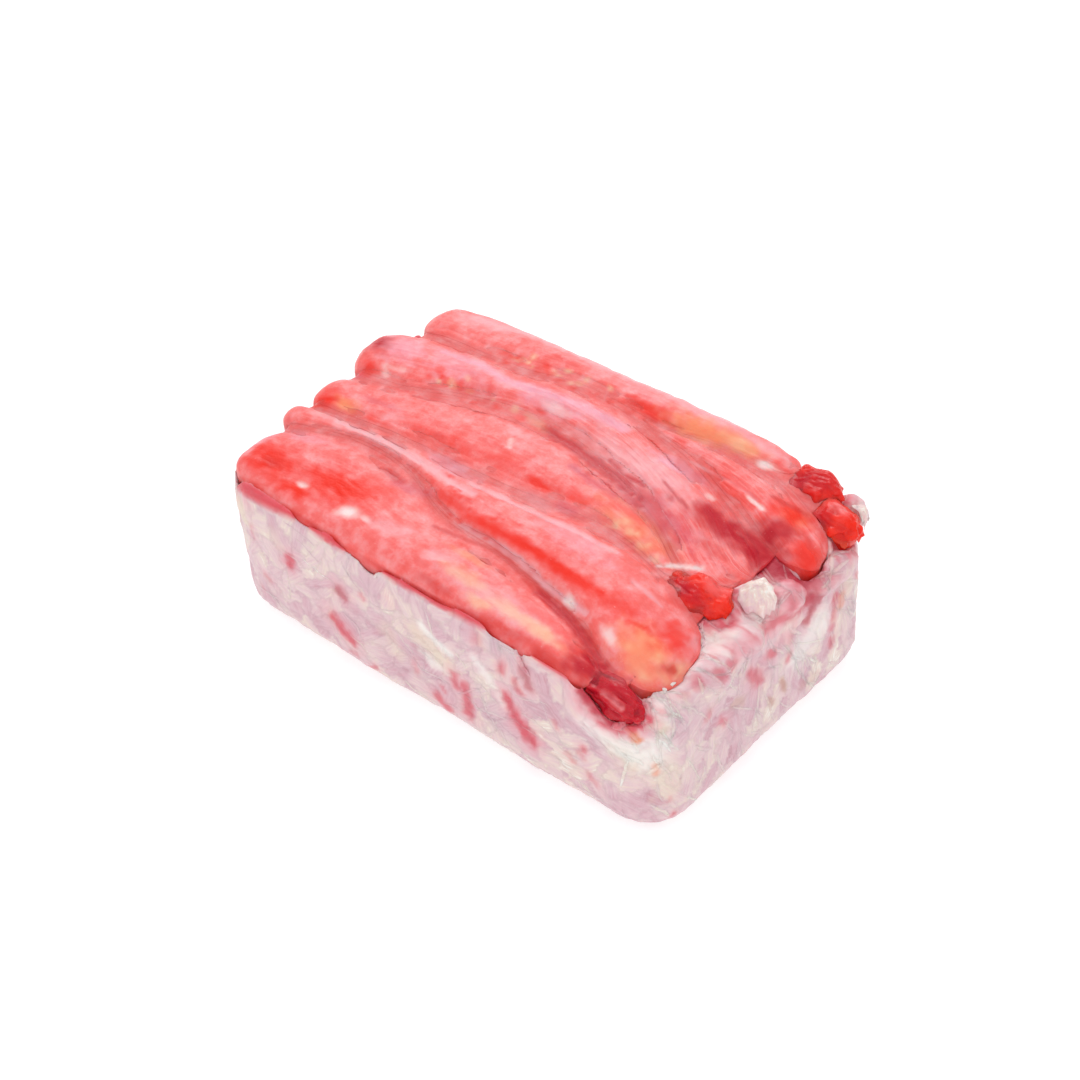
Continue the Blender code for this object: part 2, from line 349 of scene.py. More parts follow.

# %% [markdown]
# ## The red skin
# Under its shell a cooked leg has a skin a tenth of a millimetre thick, coral pink to orange
# red, over white muscle that shows through wherever the skin is thin. Light sinks into the meat
# and comes back warmer, so the shader has some subsurface scattering, and the ice glaze on top
# gives a broad soft shine. The skin's own pattern is fine streaks along the muscle, drawn in
# the leg's own coordinates so that they follow its bends, and a mottle of a few millimetres.
# The painted tints lie over that in the order of the list, so the frost and painted highlights
# cover the crimson and painted shade. The brightest fine specks also get a little frost white, as
# painted glints. The torn bits have the same skin, but juice keeps them wetter, which only makes
# them shine more.

# %% Red skin, the cooked membrane of crab leg meat
SKIN_TINTS = {
    "pale": "F2ACB2",
    "lilac": "EEB0C4",
    "mauve": "C8506C",
    "peach": "FA9468",
    "cream": "F6C8A4",
    "orange": "F02404",
    "red": "CE1A18",
    # crimson is dark red flesh, and where it lies in grooves and crevices it is also painted shade
    "crimson": "BE0422",
    # this pale white is frost, and also painted highlights and glints
    "frost": "F8DEDC",
}
SKIN_BASE = "F47270"
SKIN_THIN = "F6A0A2"
SKIN_THICK = "EE5C54"
STREAK_WIDTH = 1.1 * MM
STREAK_LENGTH = 16.0 * MM
MOTTLE_SIZE = 5.0 * MM
SPECK_SIZE = 0.9 * MM
SKIN_ROUGHNESS = (0.36, 0.62)
SKIN_SUBSURFACE_DEPTH = 2.5 * MM
ICE_ON_SKIN_ROUGHNESS = 0.28
SKIN_IOR = 1.38
ICE_IOR = 1.31


def red_skin_material(name, wetness):
    """Skin with streaks, mottle and tints; the wetter it is, from 0 to 1, the more it shines."""
    material = bpy.data.materials.new(name)
    material.use_nodes = True
    tree = material.node_tree
    shader = tree.nodes["Principled BSDF"]
    place = add_node(tree, "ShaderNodeTexCoord").outputs["Object"]
    fibre = add_node(tree, "ShaderNodeAttribute", attribute_name="fibre").outputs["Vector"]
    streaks = add_node(
        tree, "ShaderNodeMapping",
        {"Vector": fibre, "Scale": (1 / STREAK_LENGTH, 1 / STREAK_WIDTH, 1 / STREAK_WIDTH)},
    ).outputs["Vector"]
    streak = add_node(
        tree, "ShaderNodeTexNoise",
        {"Vector": streaks, "Scale": 1.0, "Detail": 4.0, "Roughness": 0.6, "Distortion": 0.6},
    ).outputs["Fac"]
    mottle = add_node(
        tree, "ShaderNodeTexNoise",
        {"Vector": place, "Scale": 1 / MOTTLE_SIZE, "Detail": 5.0, "Roughness": 0.62},
    ).outputs["Fac"]
    speck = add_node(
        tree, "ShaderNodeTexNoise",
        {"Vector": place, "Scale": 1 / SPECK_SIZE, "Detail": 2.0, "Roughness": 0.5},
    ).outputs["Fac"]
    colour = blend_colour(
        tree, hex_colour(SKIN_BASE), hex_colour(SKIN_THIN), remap(tree, mottle, 0.45, 0.75))
    colour = blend_colour(
        tree, colour, hex_colour(SKIN_THICK), remap(tree, mottle, 0.48, 0.28, 0.0, 0.8))
    fibrous = add_node(tree, "ShaderNodeAttribute", attribute_name="fibrous").outputs["Fac"]
    colour = blend_colour(
        tree, colour, hex_colour(SKIN_THIN),
        times(tree, fibrous, remap(tree, streak, 0.50, 0.72, 0.0, 0.8)))
    colour = blend_colour(
        tree, colour, hex_colour(SKIN_TINTS["mauve"]),
        times(tree, fibrous, remap(tree, streak, 0.44, 0.30, 0.0, 0.22)))
    broken = remap(tree, mottle, 0.34, 0.56, 0.88, 1.0)
    for name, value in SKIN_TINTS.items():
        amount = add_node(tree, "ShaderNodeAttribute", attribute_name=name).outputs["Fac"]
        colour = blend_colour(tree, colour, hex_colour(value), times(tree, amount, broken))
    # Painted glints: the brightest fine specks are blended a little towards the frost white.
    colour = blend_colour(
        tree, colour, hex_colour(SKIN_TINTS["frost"]), remap(tree, speck, 0.70, 0.85, 0.0, 0.3))
    height = add_node(
        tree, "ShaderNodeMath", {0: times(tree, streak, fibrous), 1: times(tree, speck, 0.6)},
        operation="ADD",
    ).outputs[0]
    bump = add_node(
        tree, "ShaderNodeBump", {"Height": height, "Strength": 0.35, "Distance": 0.5 * MM},
    ).outputs["Normal"]
    tree.links.new(colour, shader.inputs["Base Color"])
    shiny, dull = (roughness - 0.3 * wetness for roughness in SKIN_ROUGHNESS)
    tree.links.new(remap(tree, speck, 0.35, 0.75, shiny, dull), shader.inputs["Roughness"])
    tree.links.new(bump, shader.inputs["Normal"])
    shader.inputs["IOR"].default_value = SKIN_IOR
    shader.inputs["Subsurface Weight"].default_value = 0.45
    shader.inputs["Subsurface Radius"].default_value = (1.0, 0.35, 0.25)
    shader.inputs["Subsurface Scale"].default_value = SKIN_SUBSURFACE_DEPTH
    shader.inputs["Specular IOR Level"].default_value = 0.35
    shader.inputs["Coat Weight"].default_value = 0.2
    shader.inputs["Coat Roughness"].default_value = ICE_ON_SKIN_ROUGHNESS - 0.2 * wetness
    shader.inputs["Coat IOR"].default_value = ICE_IOR
    return material


red_skin = red_skin_material("cooked_crab_skin", 0.0)
wet_red_flesh = red_skin_material("wet_torn_crab_flesh", 0.3)
print("made", red_skin.name, "and", wet_red_flesh.name, "with", len(SKIN_TINTS), "tints")

# %% [markdown]
# ## A leg's surface
# The solid leg is faceted. To get a surface fit for a close look we wrap a fine grid round it,
# as a sleeve is drawn over an arm: rays go out from the leg's own centre line until they meet
# the solid, and the grid's points are put where they land. At both ends the rays fan out into
# a cap, so the sleeve is closed. The measured radii are then smoothed, which removes the
# facets. The grid runs along the muscle, which is just what fibre relief needs: narrow cells
# across the fibres and long ones along them, finer on top than underneath.

# %% A leg's centre line
CENTRE_WINDOW = 7 * MM
CENTRE_STATIONS = 40


def centre_line(node):
    """Where a solid's middle is at each x, how wide it is there, and where it starts and ends."""
    mesh = merged_copy(node)
    middles = np.array([face.calc_center_median() for face in mesh.faces])
    areas = np.array([face.calc_area() for face in mesh.faces])
    mesh.free()
    low, high = (np.array(corner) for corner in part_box(node))
    stations = np.linspace(low[0], high[0], CENTRE_STATIONS)
    line, sizes = [], []
    for x in stations:
        weight = areas * np.exp(-((middles[:, 0] - x) / CENTRE_WINDOW) ** 2)
        middle = weight @ middles / weight.sum()
        line.append(middle)
        sizes.append(np.sqrt(weight @ (middles - middle) ** 2 / weight.sum()))
    line, sizes = np.array(line), np.array(sizes)

    def middle_at(x):
        """The middle of the leg at x."""
        return np.array([x, np.interp(x, stations, line[:, 1]), np.interp(x, stations, line[:, 2])])

    def wide_at(x):
        """How far the leg spreads across and upwards at x."""
        return np.interp(x, stations, sizes[:, 1]), np.interp(x, stations, sizes[:, 2])

    return middle_at, wide_at, low[0], high[0]


print("the first leg's middle:", (centre_line(LEGS[0])[0](0.0) / MM).round(1), "mm")

# %% [markdown]
# From that line the rays go out ring by ring. Where the leg curves, each ring stands square to
# the line, and an oval leg gets its rays spread to suit, so that the cells stay even.

# %% Send out the rays
RING_STEP = 1.05 * MM
RINGS_IN_CAP = 9
POINTS_AROUND = 216
TOP_DENSITY = 0.62
LONGEST_CAP = 9 * MM
FACET_BLUR_ALONG = 2.4
FACET_BLUR_AROUND = 3.4


def around_angles():
    """Angles that start underneath and crowd together on top."""
    fine = np.linspace(-math.pi / 2, 1.5 * math.pi, 2000)
    crowd = np.cumsum(1 + TOP_DENSITY * np.sin(fine))
    crowd = (crowd - crowd[0]) / (crowd[-1] - crowd[0])
    return np.interp(np.arange(POINTS_AROUND) / POINTS_AROUND, crowd, fine)


def blur(grid, sigma, axis, wraps):
    """A Gaussian blur of a grid of numbers along one axis."""
    reach = int(3 * sigma)
    total = np.zeros_like(grid)
    weights = 0.0
    for step in range(-reach, reach + 1):
        weight = math.exp(-0.5 * (step / sigma) ** 2)
        if wraps:
            moved = np.roll(grid, step, axis)
        else:
            index = np.clip(np.arange(grid.shape[axis]) + step, 0, grid.shape[axis] - 1)
            moved = np.take(grid, index, axis)
        total += weight * moved
        weights += weight
    return total / weights


def wrap_rays(node):
    """Start points and directions of the rays, ring by ring, from the far cap to the near."""
    middle_at, wide_at, low, high = centre_line(node)
    cap = min(LONGEST_CAP, (high - low) / 4)
    angles = around_angles()
    tilts = [math.pi / 2 * (1 - (step + 0.5) / RINGS_IN_CAP) for step in range(RINGS_IN_CAP)]
    body = np.linspace(low + cap, high - cap, int((high - low - 2 * cap) / RING_STEP))
    rings = [(low + cap, -tilt) for tilt in tilts]
    rings += [(x, 0.0) for x in body]
    rings += [(high - cap, tilt) for tilt in reversed(tilts)]
    starts, aims = [], []
    for x, tilt in rings:
        start = middle_at(x)
        tangent = middle_at(x + MM) - middle_at(x - MM)
        tangent /= np.linalg.norm(tangent)
        side = np.cross([0, 0, 1], tangent)
        side /= np.linalg.norm(side)
        up = np.cross(tangent, side)
        half_width, half_height = wide_at(x)
        spoke = np.outer(half_width * np.cos(angles), side)
        spoke += np.outer(half_height * np.sin(angles), up)
        spoke /= np.linalg.norm(spoke, axis=1)[:, None]
        starts.append(np.repeat(start[None], len(angles), axis=0))
        aims.append(spoke * math.cos(tilt) + tangent * math.sin(tilt))
    return np.array(starts), np.array(aims)


def wrapped_grid(node):
    """Points of the sleeve as rings x points around x 3, smoothed, and its rays' starts."""
    starts, aims = wrap_rays(node)
    surface = surfaces[node]
    radius = np.zeros(starts.shape[:2])
    for ring, around in np.ndindex(radius.shape):
        hit = surface.ray_cast(starts[ring, around], aims[ring, around])
        radius[ring, around] = hit[3] if hit[3] is not None else np.nan
    rows_mean = np.nanmean(radius, axis=1)
    radius = np.where(np.isnan(radius), rows_mean[:, None], radius)
    radius = blur(radius, FACET_BLUR_AROUND, 1, True)
    radius = blur(radius, FACET_BLUR_ALONG, 0, False)
    return starts + aims * radius[:, :, None], starts


sleeves = {node: wrapped_grid(node) for node in LEGS}
print("rings on each leg:", [len(sleeve[0]) for sleeve in sleeves.values()])

# %% [markdown]
# The rings become a closed net of quads, and each point learns how far along the leg and how
# far round it lies. The streaks and the strands are drawn in those two distances.

# %% Faces and fibre directions
def sleeve_faces(rings, around):
    """Quads between the rings and a fan of triangles to the point at each end."""
    faces = []
    for ring in range(rings - 1):
        for step in range(around):
            beside = (step + 1) % around
            first, second = ring * around, (ring + 1) * around
            faces.append((first + step, second + step, second + beside, first + beside))
    far_tip, near_tip, last = rings * around, rings * around + 1, (rings - 1) * around
    for step in range(around):
        beside = (step + 1) % around
        faces.append((far_tip, step, beside))
        faces.append((near_tip, last + beside, last + step))
    return faces


def fibre_coordinates(points, starts):
    """Distance along the leg and round it, in metres, for the streaks to follow."""
    along = np.cumsum(np.linalg.norm(np.diff(starts[:, 0], axis=0, prepend=starts[:1, 0]), axis=1))
    along += np.linspace(-1, 1, len(along)) * MM
    steps = np.linalg.norm(np.diff(points, axis=1, prepend=points[:, :1]), axis=2)
    around = np.cumsum(steps, axis=1)
    around -= around[:, -1:] / 2
    return np.dstack([np.repeat(along[:, None], points.shape[1], 1), around, np.zeros_like(around)])


most_rings = max(len(grid) for grid, _ in sleeves.values())
print("a leg has up to", most_rings * POINTS_AROUND, "points")

# %% [markdown]
# ## Relief on a leg
# A leg is a bundle of muscle strands under a skin that shrank as it cooked. That gives three
# sizes of relief: soft swellings of a centimetre or two, ridges of one to three millimetres
# along the strands, and a fine pebbled grain. On top of these come the marks of this very
# block: ridges where the skin is raised beside a groove, and narrow creases.

# %% Relief of the strands and the skin
SWELLING_RELIEF, SWELLING_SIZE = 0.6 * MM, 15 * MM
DIMPLE_RELIEF, DIMPLE_SIZE = 0.30 * MM, 5.5 * MM
PEBBLE_RELIEF, PEBBLE_SIZE = 0.10 * MM, 2.2 * MM
STRAND_RELIEF = 0.34 * MM
STRAND_SIZE = (22 * MM, 3.0 * MM, 1)
THIN_STRAND_SIZE = (14 * MM, 1.5 * MM, 1)
FINE_RELIEF = 0.16 * MM
FINE_SIZE = (7 * MM, 0.9 * MM, 1)
RIDGE_RELIEF = 0.55 * MM
CREASE_RELIEF = 0.75 * MM


def leg_relief(points, fibre, seed, fibrous):
    """How far each point stands out, in metres, with more strands where the leg is fibrous."""
    strand = uneven(fibre, STRAND_SIZE, seed + 1)
    strand += 0.6 * uneven(fibre, THIN_STRAND_SIZE, seed + 2)
    return (
        SWELLING_RELIEF * uneven(points, SWELLING_SIZE, seed)
        + DIMPLE_RELIEF * uneven(points, DIMPLE_SIZE, seed + 5)
        + STRAND_RELIEF * fibrous * strand
        + FINE_RELIEF * fibrous * uneven(fibre, FINE_SIZE, seed + 3)
        + PEBBLE_RELIEF * uneven(points, PEBBLE_SIZE, seed + 4)
    )


print("swellings of", SWELLING_RELIEF / MM, "mm and strands of", STRAND_RELIEF / MM, "mm")

# %% [markdown]
# ## The marks on each leg
# These lists read like a map of the block seen from above, in millimetres from its middle: x
# along the legs towards the torn end and y across them. Each line is one patch or stroke that
# the eye picks out. A ridge and a crease also lift or sink the skin.

# %% Marks on the six legs
# Crimson marks along grooves and crevices are partly dark red flesh and partly painted shade; the
# frost-white marks are partly frost and partly painted highlights.
LEG_MARKS = {
    "leg_meat_1": [
        (patch, "orange", (-73, -46), (11, 8)),
        (patch, "red", (-72, -47), (4, 2.2), 0, 0.55),
        (patch, "orange", (-58, -51.5), (8, 3.4)),
        (patch, "orange", (-47, -42), (15, 8), 8),
        (patch, "orange", (-37, -36), (8, 5), 20, 0.7),
        (patch, "crimson", (-38, -27.5), (6, 1.8), 0, 0.55),
        (patch, "red", (-62, -24.5), (10, 1.8), 0, 0.35),
        (patch, "mauve", (-30, -28.5), (9, 2.6), 15, 0.5),
        (patch, "lilac", (-84, -40), (3, 12), 0, 0.45),
        (patch, "lilac", (-72, -31), (8, 3), 10, 0.35),
        (patch, "frost", (-56.5, -48.6), (2.2, 1.5), 0, 0.85),
        (patch, "frost", (-37, -49.3), (4.2, 2.6), 30, 1.0),
        (patch, "frost", (-31, -48.5), (1.6, 1.2), 0, 0.6),
        (patch, "pale", (-21, -46.5), (8, 3.2), 20, 0.6),
        (patch, "pale", (-3, -47.5), (4.5, 2.6), 20, 0.75),
        (patch, "peach", (4, -41), (7, 1.6), 0, 0.6),
        (patch, "cream", (9, -48.5), (9, 3), 0, 0.45),
        (patch, "pale", (24, -50), (24, 5), 0, 0.65),
        (patch, "cream", (19, -53.6), (6, 2), 0, 0.6),
        (patch, "cream", (29, -50.5), (9, 2.4), -4, 0.55),
        (patch, "cream", (41.5, -51), (10, 2.6), -4, 0.7),
        (patch, "orange", (40, -46.5), (12, 2.0), -8, 0.45),
        (patch, "orange", (52, -50), (5, 4), 0, 0.6),
        (patch, "red", (34, -56.5), (16, 1.6), 4, 0.5),
        (patch, "crimson", (59, -53), (7, 4), 10, 0.95),
        (patch, "red", (4, -56), (8, 1.8), 0, 0.5),
    ],
    "leg_meat_2": [
        (patch, "pale", (-70, -19), (12, 3), 0, 0.5),
        (stroke, "pale", [(-70, -18.6), (-48, -17.6), (-30, -18.5), (-12, -20.5)], 3.4, 0.95),
        (stroke, "red", [(-68, -23.5), (-52, -24)], 3.4, 0.35),
        (stroke, "orange", [(-20, -25.5), (-2, -28.2)], 4.0, 0.7),
        (speckles, "orange", [(-26, -23), (-8, -26), (14, -27)], 7.0, 26, 2.6, 0.8),
        (speckles, "pale", [(-24, -24), (-6, -27)], 7.0, 10, 1.8, 0.5),
        (stroke, "orange", [(-2, -28.2), (10, -28.3)], 4.0, 0.9),
        (stroke, "orange", [(12, -28), (24, -28.6)], 4.2, 0.95),
        (stroke, "orange", [(27, -29), (47, -31)], 5.0, 0.95),
        (patch, "orange", (54, -31), (8, 5), -8, 0.7),
        (patch, "lilac", (28, -18), (16, 4.5), -5, 0.3),
        (stroke, "pale", [(-9, -31.3), (8, -31.6), (17, -32.6), (28, -35), (39, -36.8), (47, -38)],
         2.0, 1.0),
        (patch, "frost", (39.5, -36.6), (2.6, 1.2), -15, 0.9),
        (stroke, "red", [(-13, -37), (-2, -35.5), (9, -33.6), (20, -35.5), (33, -38)], 2.6, 0.7),
        (stroke, "crimson", [(30, -38.5), (42, -41), (52, -44.5), (60, -48.5)], 3.6, 0.75),
        (patch, "frost", (58.5, -41.5), (4.2, 1.7), -18, 0.75),
        (patch, "peach", (69.5, -38.5), (10, 6.5), -10, 0.8),
        (patch, "peach", (72, -44), (8, 4), -10, 0.7),
        (speckles, "cream", [(66, -36), (80, -40)], 8.0, 10, 3.0, 0.4),
        (patch, "pale", (77, -25.5), (6, 4), 30, 0.6),
        (speckles, "orange", [(62, -34), (78, -34)], 6.0, 10, 3.6, 0.6),
        (patch, "orange", (73, -28.5), (6, 5.5), 0, 0.9),
        (stroke, "orange", [(60, -34.5), (66, -33)], 2.2, 0.8),
        (patch, "red", (78.5, -38.5), (3, 1.6), 60, 0.8),
        (patch, "cream", (81, -36), (2.2, 4), 0, 0.6),
        (stroke, "pale", [(51, -20.5), (63, -22.5)], 2.2, 0.7),
        (patch, "crimson", (60, -50), (8, 2.6), 0, 1.0),
    ],
    "leg_meat_3": [
        (patch, "orange", (-82, -13), (5.5, 5), 0, 1.0),
        (patch, "red", (-80, -14.5), (4.5, 2), 0, 0.7),
        (patch, "peach", (-74, -10.5), (6, 3), 0, 0.85),
        (patch, "orange", (-61.8, -11), (3.2, 1.8), 0, 0.55),
        (patch, "mauve", (-64, -3.6), (9, 2), 0, 0.3),
        (patch, "pale", (-57, -7), (5, 2), 20, 0.6),
        (patch, "orange", (-38, -6), (13, 5.5), 6, 0.55),
        (patch, "red", (-38, -5.4), (3, 1.6), 0, 0.35),
        (patch, "lilac", (-27, -13), (10, 3.2), 0, 0.5),
        (patch, "orange", (-15, -2.4), (9, 4.5), 0, 0.45),
        (stroke, "frost", [(-19.5, 7.6), (-17.5, 4.2)], 1.8, 0.5),
        (patch, "pale", (-21, 11.5), (4, 2.2), 0, 0.5),
        (patch, "orange", (0.5, -3.2), (6, 2.0), -6, 0.85),
        (patch, "orange", (13, -1), (5.5, 3.2), 0, 0.6),
        (patch, "mauve", (14, -6), (6, 2.8), 0, 0.55),
        (patch, "pale", (5, -9), (9, 2.4), -5, 0.5),
        (patch, "peach", (36, 1), (17, 6), -8, 0.5),
        (speckles, "cream", [(30, 0), (40, -3), (48, -5)], 5.0, 10, 3.0, 0.6),
        (patch, "orange", (30, 3.5), (8, 1.8), -10, 0.55),
        (stroke, "pale", [(-16, -16), (-4, -15.6), (12, -14.8), (27, -14), (39, -13.6)], 2.6, 0.85),
        (stroke, "mauve", [(4, 9.5), (22, 6.5), (42, 3)], 3.6, 0.5),
        (stroke, "pale", [(16, 12), (36, 8), (50, 3)], 1.6, 0.35),
        (stroke, "frost", [(50, -7), (54, -4)], 1.6, 0.6),
    ],
    "leg_meat_4": [
        (patch, "crimson", (-86, 19.5), (4.6, 5), 0, 0.95),
        (patch, "orange", (-81, 8.5), (4, 3.4), 0, 0.8),
        (stroke, "frost", [(-77, 12.0), (-74.0, 9.0)], 2.2, 0.4),
        (stroke, "frost", [(-77, 12.0), (-70.0, 13.5)], 1.8, 0.3),
        (patch, "mauve", (-82.5, 5), (4, 3), 0, 0.6),
        (patch, "lilac", (-78, 22), (9, 7), 0, 0.55),
        (patch, "lilac", (-58, 25), (16, 7), 0, 0.35),
        (stroke, "lilac", [(-66, 29), (-52, 29.5), (-39, 28.5), (-26, 31), (-12, 33.5), (4, 34.5)],
         4.4, 0.7),
        (patch, "lilac", (-20, 29.5), (12, 4.5), 6, 0.55),
        (patch, "frost", (-18, 28.5), (5, 2), 0, 0.45),
        (speckles, "orange", [(-62, 16), (-42, 18.5), (-20, 23)], 6.0, 16, 3.6, 0.75),
        (speckles, "cream", [(-58, 17), (-42, 19.5), (-22, 22)], 5.0, 9, 2.6, 0.6),
        (speckles, "pale", [(0, 22), (20, 20), (40, 16)], 12.0, 30, 3.4, 0.7),
        (speckles, "crimson", [(4, 16), (24, 14), (44, 10)], 10.0, 14, 2.2, 0.5),
        (patch, "orange", (-22, 25), (2.4, 1.4), 0, 0.75),
        (patch, "cream", (-19, 20), (6, 2), -10, 0.4),
        (stroke, "crimson", [(-14, 19.5), (0, 17.5), (12, 16.5), (22, 14)], 4.4, 0.75),
        (stroke, "crimson", [(10, 20.5), (18, 17.5), (26, 17.2)], 1.5, 0.6),
        (stroke, "crimson", [(30, 22), (36, 19.5), (42, 17.8)], 1.5, 0.6),
        (patch, "pale", (18, 23), (24, 8), -6, 0.75),
        (patch, "lilac", (30, 31.5), (10, 3.2), 0, 0.7),
        (patch, "mauve", (36, 10), (20, 6.5), -8, 0.5),
        (patch, "pale", (24, 14), (9, 2), -14, 0.55),
        (patch, "red", (49, 17.5), (7, 4), -15, 0.6),
        (patch, "orange", (52, 21), (6, 3), 0, 0.6),
        # Painted shade with dark red flesh: the crimson pool in the crevice between the fourth and
        # fifth legs' ends.
        (stroke, "crimson", [(48, 21), (58, 18.5), (72, 16.5)], 8.0, 1.0),
        (patch, "red", (58, 9), (7, 4), 0, 0.45),
        (stroke, "frost", [(52, -5), (61, 0.4)], 2.0, 0.75),
    ],
    "leg_meat_5": [
        (patch, "orange", (45, 34), (15, 5), -8, 0.55),
        (stroke, "pale", [(30, 36), (44, 36), (57, 34)], 1.2, 0.8),
        (stroke, "pale", [(38, 32.5), (52, 31)], 1.0, 0.7),
        (stroke, "frost", [(53.5, 33.6), (61, 31.6)], 1.4, 0.8),
        (patch, "frost", (44, 27), (2, 1.2), 0, 0.6),
        # Painted shade with dark red flesh: the crimson pool in the crevice beside the fourth leg's
        # end.
        (stroke, "crimson", [(56, 22), (64, 22), (76, 20)], 4.4, 0.95),
        (patch, "crimson", (68, 18.5), (10, 4.4), 8, 1.0),
        (patch, "crimson", (68.5, 26), (6, 5), 0, 0.95),
        (patch, "orange", (68.5, 35.5), (8, 5.5), 0, 0.95),
        (patch, "peach", (71, 35.5), (5, 3.4), 0, 0.6),
        (stroke, "red", [(60, 38), (72, 39)], 2.4, 0.7),
        (patch, "orange", (81, 26), (6, 5), 0, 0.9),
        (patch, "pale", (77, 22.5), (1.6, 1.2), 0, 0.7),
        (patch, "red", (73, 30), (8, 2.6), 0, 0.6),
    ],
    "leg_meat_6": [
        (stroke, "red", [(-80, 36.5), (-70, 36)], 1.8, 0.7),
        (patch, "orange", (-74, 38), (6, 2), 0, 0.4),
        (stroke, "pale", [(-72, 50), (-50, 56), (-20, 57), (10, 57.5), (34, 57)], 8.0, 0.85),
        (patch, "pale", (-4, 52), (16, 3.4), 0, 0.4),
        (patch, "pale", (32, 55), (24, 4), 0, 0.7),
        (speckles, "orange", [(-48, 40.5), (-30, 41.5), (-8, 44), (8, 46)], 4.5, 26, 3.4, 0.9),
        (speckles, "cream", [(-46, 42), (-30, 43), (-10, 45.5)], 4.0, 16, 2.6, 0.8),
        (patch, "orange", (2, 45.8), (12, 2.6), 4, 0.85),
        (patch, "peach", (24, 49), (14, 4.5), 2, 0.85),
        (patch, "cream", (38, 50.5), (6, 2.4), 0, 0.5),
        (patch, "peach", (38, 51), (10, 3.4), 0, 0.85),
        (patch, "frost", (49, 49.8), (4, 2), 0, 0.8),
        (patch, "orange", (50, 50), (8, 3), 0, 0.5),
    ],
}
RIDGE_TINTS = ("pale", "lilac", "frost")
ALL_LEG_MARKS = [mark for node in LEGS for mark in LEG_MARKS[node]]
print(len(ALL_LEG_MARKS), "marks on the legs")

# %% [markdown]
# ## How the legs meet
# Pressed together and glazed, the legs don't look like six sausages: juice and loose skin fill
# the grooves almost to the shoulders. To find where, we take the block's height map from above
# and close it, a trick from image work: spread the high parts by a few millimetres, then
# spread the low parts back by as much. Wide shapes return to what they were and narrow grooves
# stay filled. The legs' flanks are lifted towards this filled surface. A second map is only
# blurred: it slopes gently up to each leg's end, and the bed at the torn end follows it.

# %% Height map with its grooves filled
LID_STEP = 0.6 * MM
LID_REACH = 6.0 * MM
GROOVE_SAG = 0.6 * MM
LIFT_FULLY_TO = 4 * MM
LIFT_NOT_PAST = 7.5 * MM
SLOPE_BLUR = 7.5
LID_BLUR = 2.0
LID_BORDER = 2 * LID_REACH + LID_STEP
lid_x = np.arange(cad_box[0].x - LID_BORDER, cad_box[1].x + LID_BORDER, LID_STEP)
lid_y = np.arange(cad_box[0].y - LID_BORDER, cad_box[1].y + LID_BORDER, LID_STEP)


def sleeve_tree(node):
    """A wrapped leg as a surface for ray casts."""
    grid = sleeves[node][0]
    tips = [grid[0].mean(0), grid[-1].mean(0)]
    points = np.vstack([grid.reshape(-1, 3), tips])
    return BVHTree.FromPolygons(points.tolist(), sleeve_faces(*grid.shape[:2]))


def seen_from_above(trees):
    """The highest surface over each point of the map, or 0 where there is none."""
    heights = np.zeros((len(lid_x), len(lid_y)))
    down = Vector((0, 0, -1))
    for i, j in np.ndindex(heights.shape):
        above = Vector((lid_x[i], lid_y[j], 0.2))
        for tree in trees:
            hit = tree.ray_cast(above, down)[0]
            if hit is not None and hit.z > heights[i, j]:
                heights[i, j] = hit.z
    return heights


def spread(heights, reach, pick):
    """Each point takes the highest (or lowest) value within reach of it."""
    cells = int(round(reach / LID_STEP))
    padded = np.pad(heights, cells, mode="edge")
    result = heights.copy()
    for i, j in itertools.product(range(-cells, cells + 1), repeat=2):
        if i * i + j * j <= cells * cells:
            rows = slice(cells + i, cells + i + heights.shape[0])
            columns = slice(cells + j, cells + j + heights.shape[1])
            result = pick(result, padded[rows, columns])
    return result


def height_at(heights, points):
    """A height map read at the x and y of each point."""
    u = np.clip((points[:, 0] - lid_x[0]) / LID_STEP, 0, len(lid_x) - 1.001)
    v = np.clip((points[:, 1] - lid_y[0]) / LID_STEP, 0, len(lid_y) - 1.001)
    i, j = u.astype(int), v.astype(int)
    u, v = u - i, v - j
    low = heights[i, j] * (1 - v) + heights[i, j + 1] * v
    high = heights[i + 1, j] * (1 - v) + heights[i + 1, j + 1] * v
    return low * (1 - u) + high * u


not_legs = [surfaces[node] for node in (*RED_BITS, *WHITE_BITS, BED)]
open_heights = seen_from_above([sleeve_tree(node) for node in LEGS] + not_legs)
soft_heights = blur(blur(open_heights, SLOPE_BLUR, 0, False), SLOPE_BLUR, 1, False)
filled_heights = spread(spread(open_heights, LID_REACH, np.maximum), LID_REACH, np.minimum)
filled_heights = blur(blur(filled_heights, LID_BLUR, 0, False), LID_BLUR, 1, False)
print("grooves are up to", round((filled_heights - open_heights).max() / MM, 1), "mm deep")

# %% [markdown]
# ## Skin in the grooves and at the edge
# The legs' flanks rise towards the filled surface, except where a groove is very deep. The
# marks are read where the lifted skin will lie, so that a band of colour runs on over a groove.
# The skin line is the wavy line on the block's side where the legs' skin ends on the bed, as x
# and height in millimetres. Two tints of painted shade follow a rule and not a mark: the skin is
# painted redder down in a groove, and darker red in a thin line at the skin line, where the leg
# meets the bed.

# %% Lift and tints by rule
SKIN_LINE = [(-91, 49.0), (-84, 50.6), (-66, 51.2), (-54, 52.6), (-43, 52.2), (-32, 51.4),
             (-4, 51.2), (8, 51.4), (19, 52.2), (41, 52.2), (60, 51.4), (70, 50.0), (82, 48.5)]
EDGE_WIDTH = 1.3 * MM
MARKS_UNDER = 2 * MM
GROOVE_PAINTED_SHADE = 0.5
GROOVE_DEPTHS = (0.35 * MM, 2.4 * MM)
EDGE_PAINTED_SHADE = 0.7
EDGE_ENDS = (68 * MM, 60 * MM)


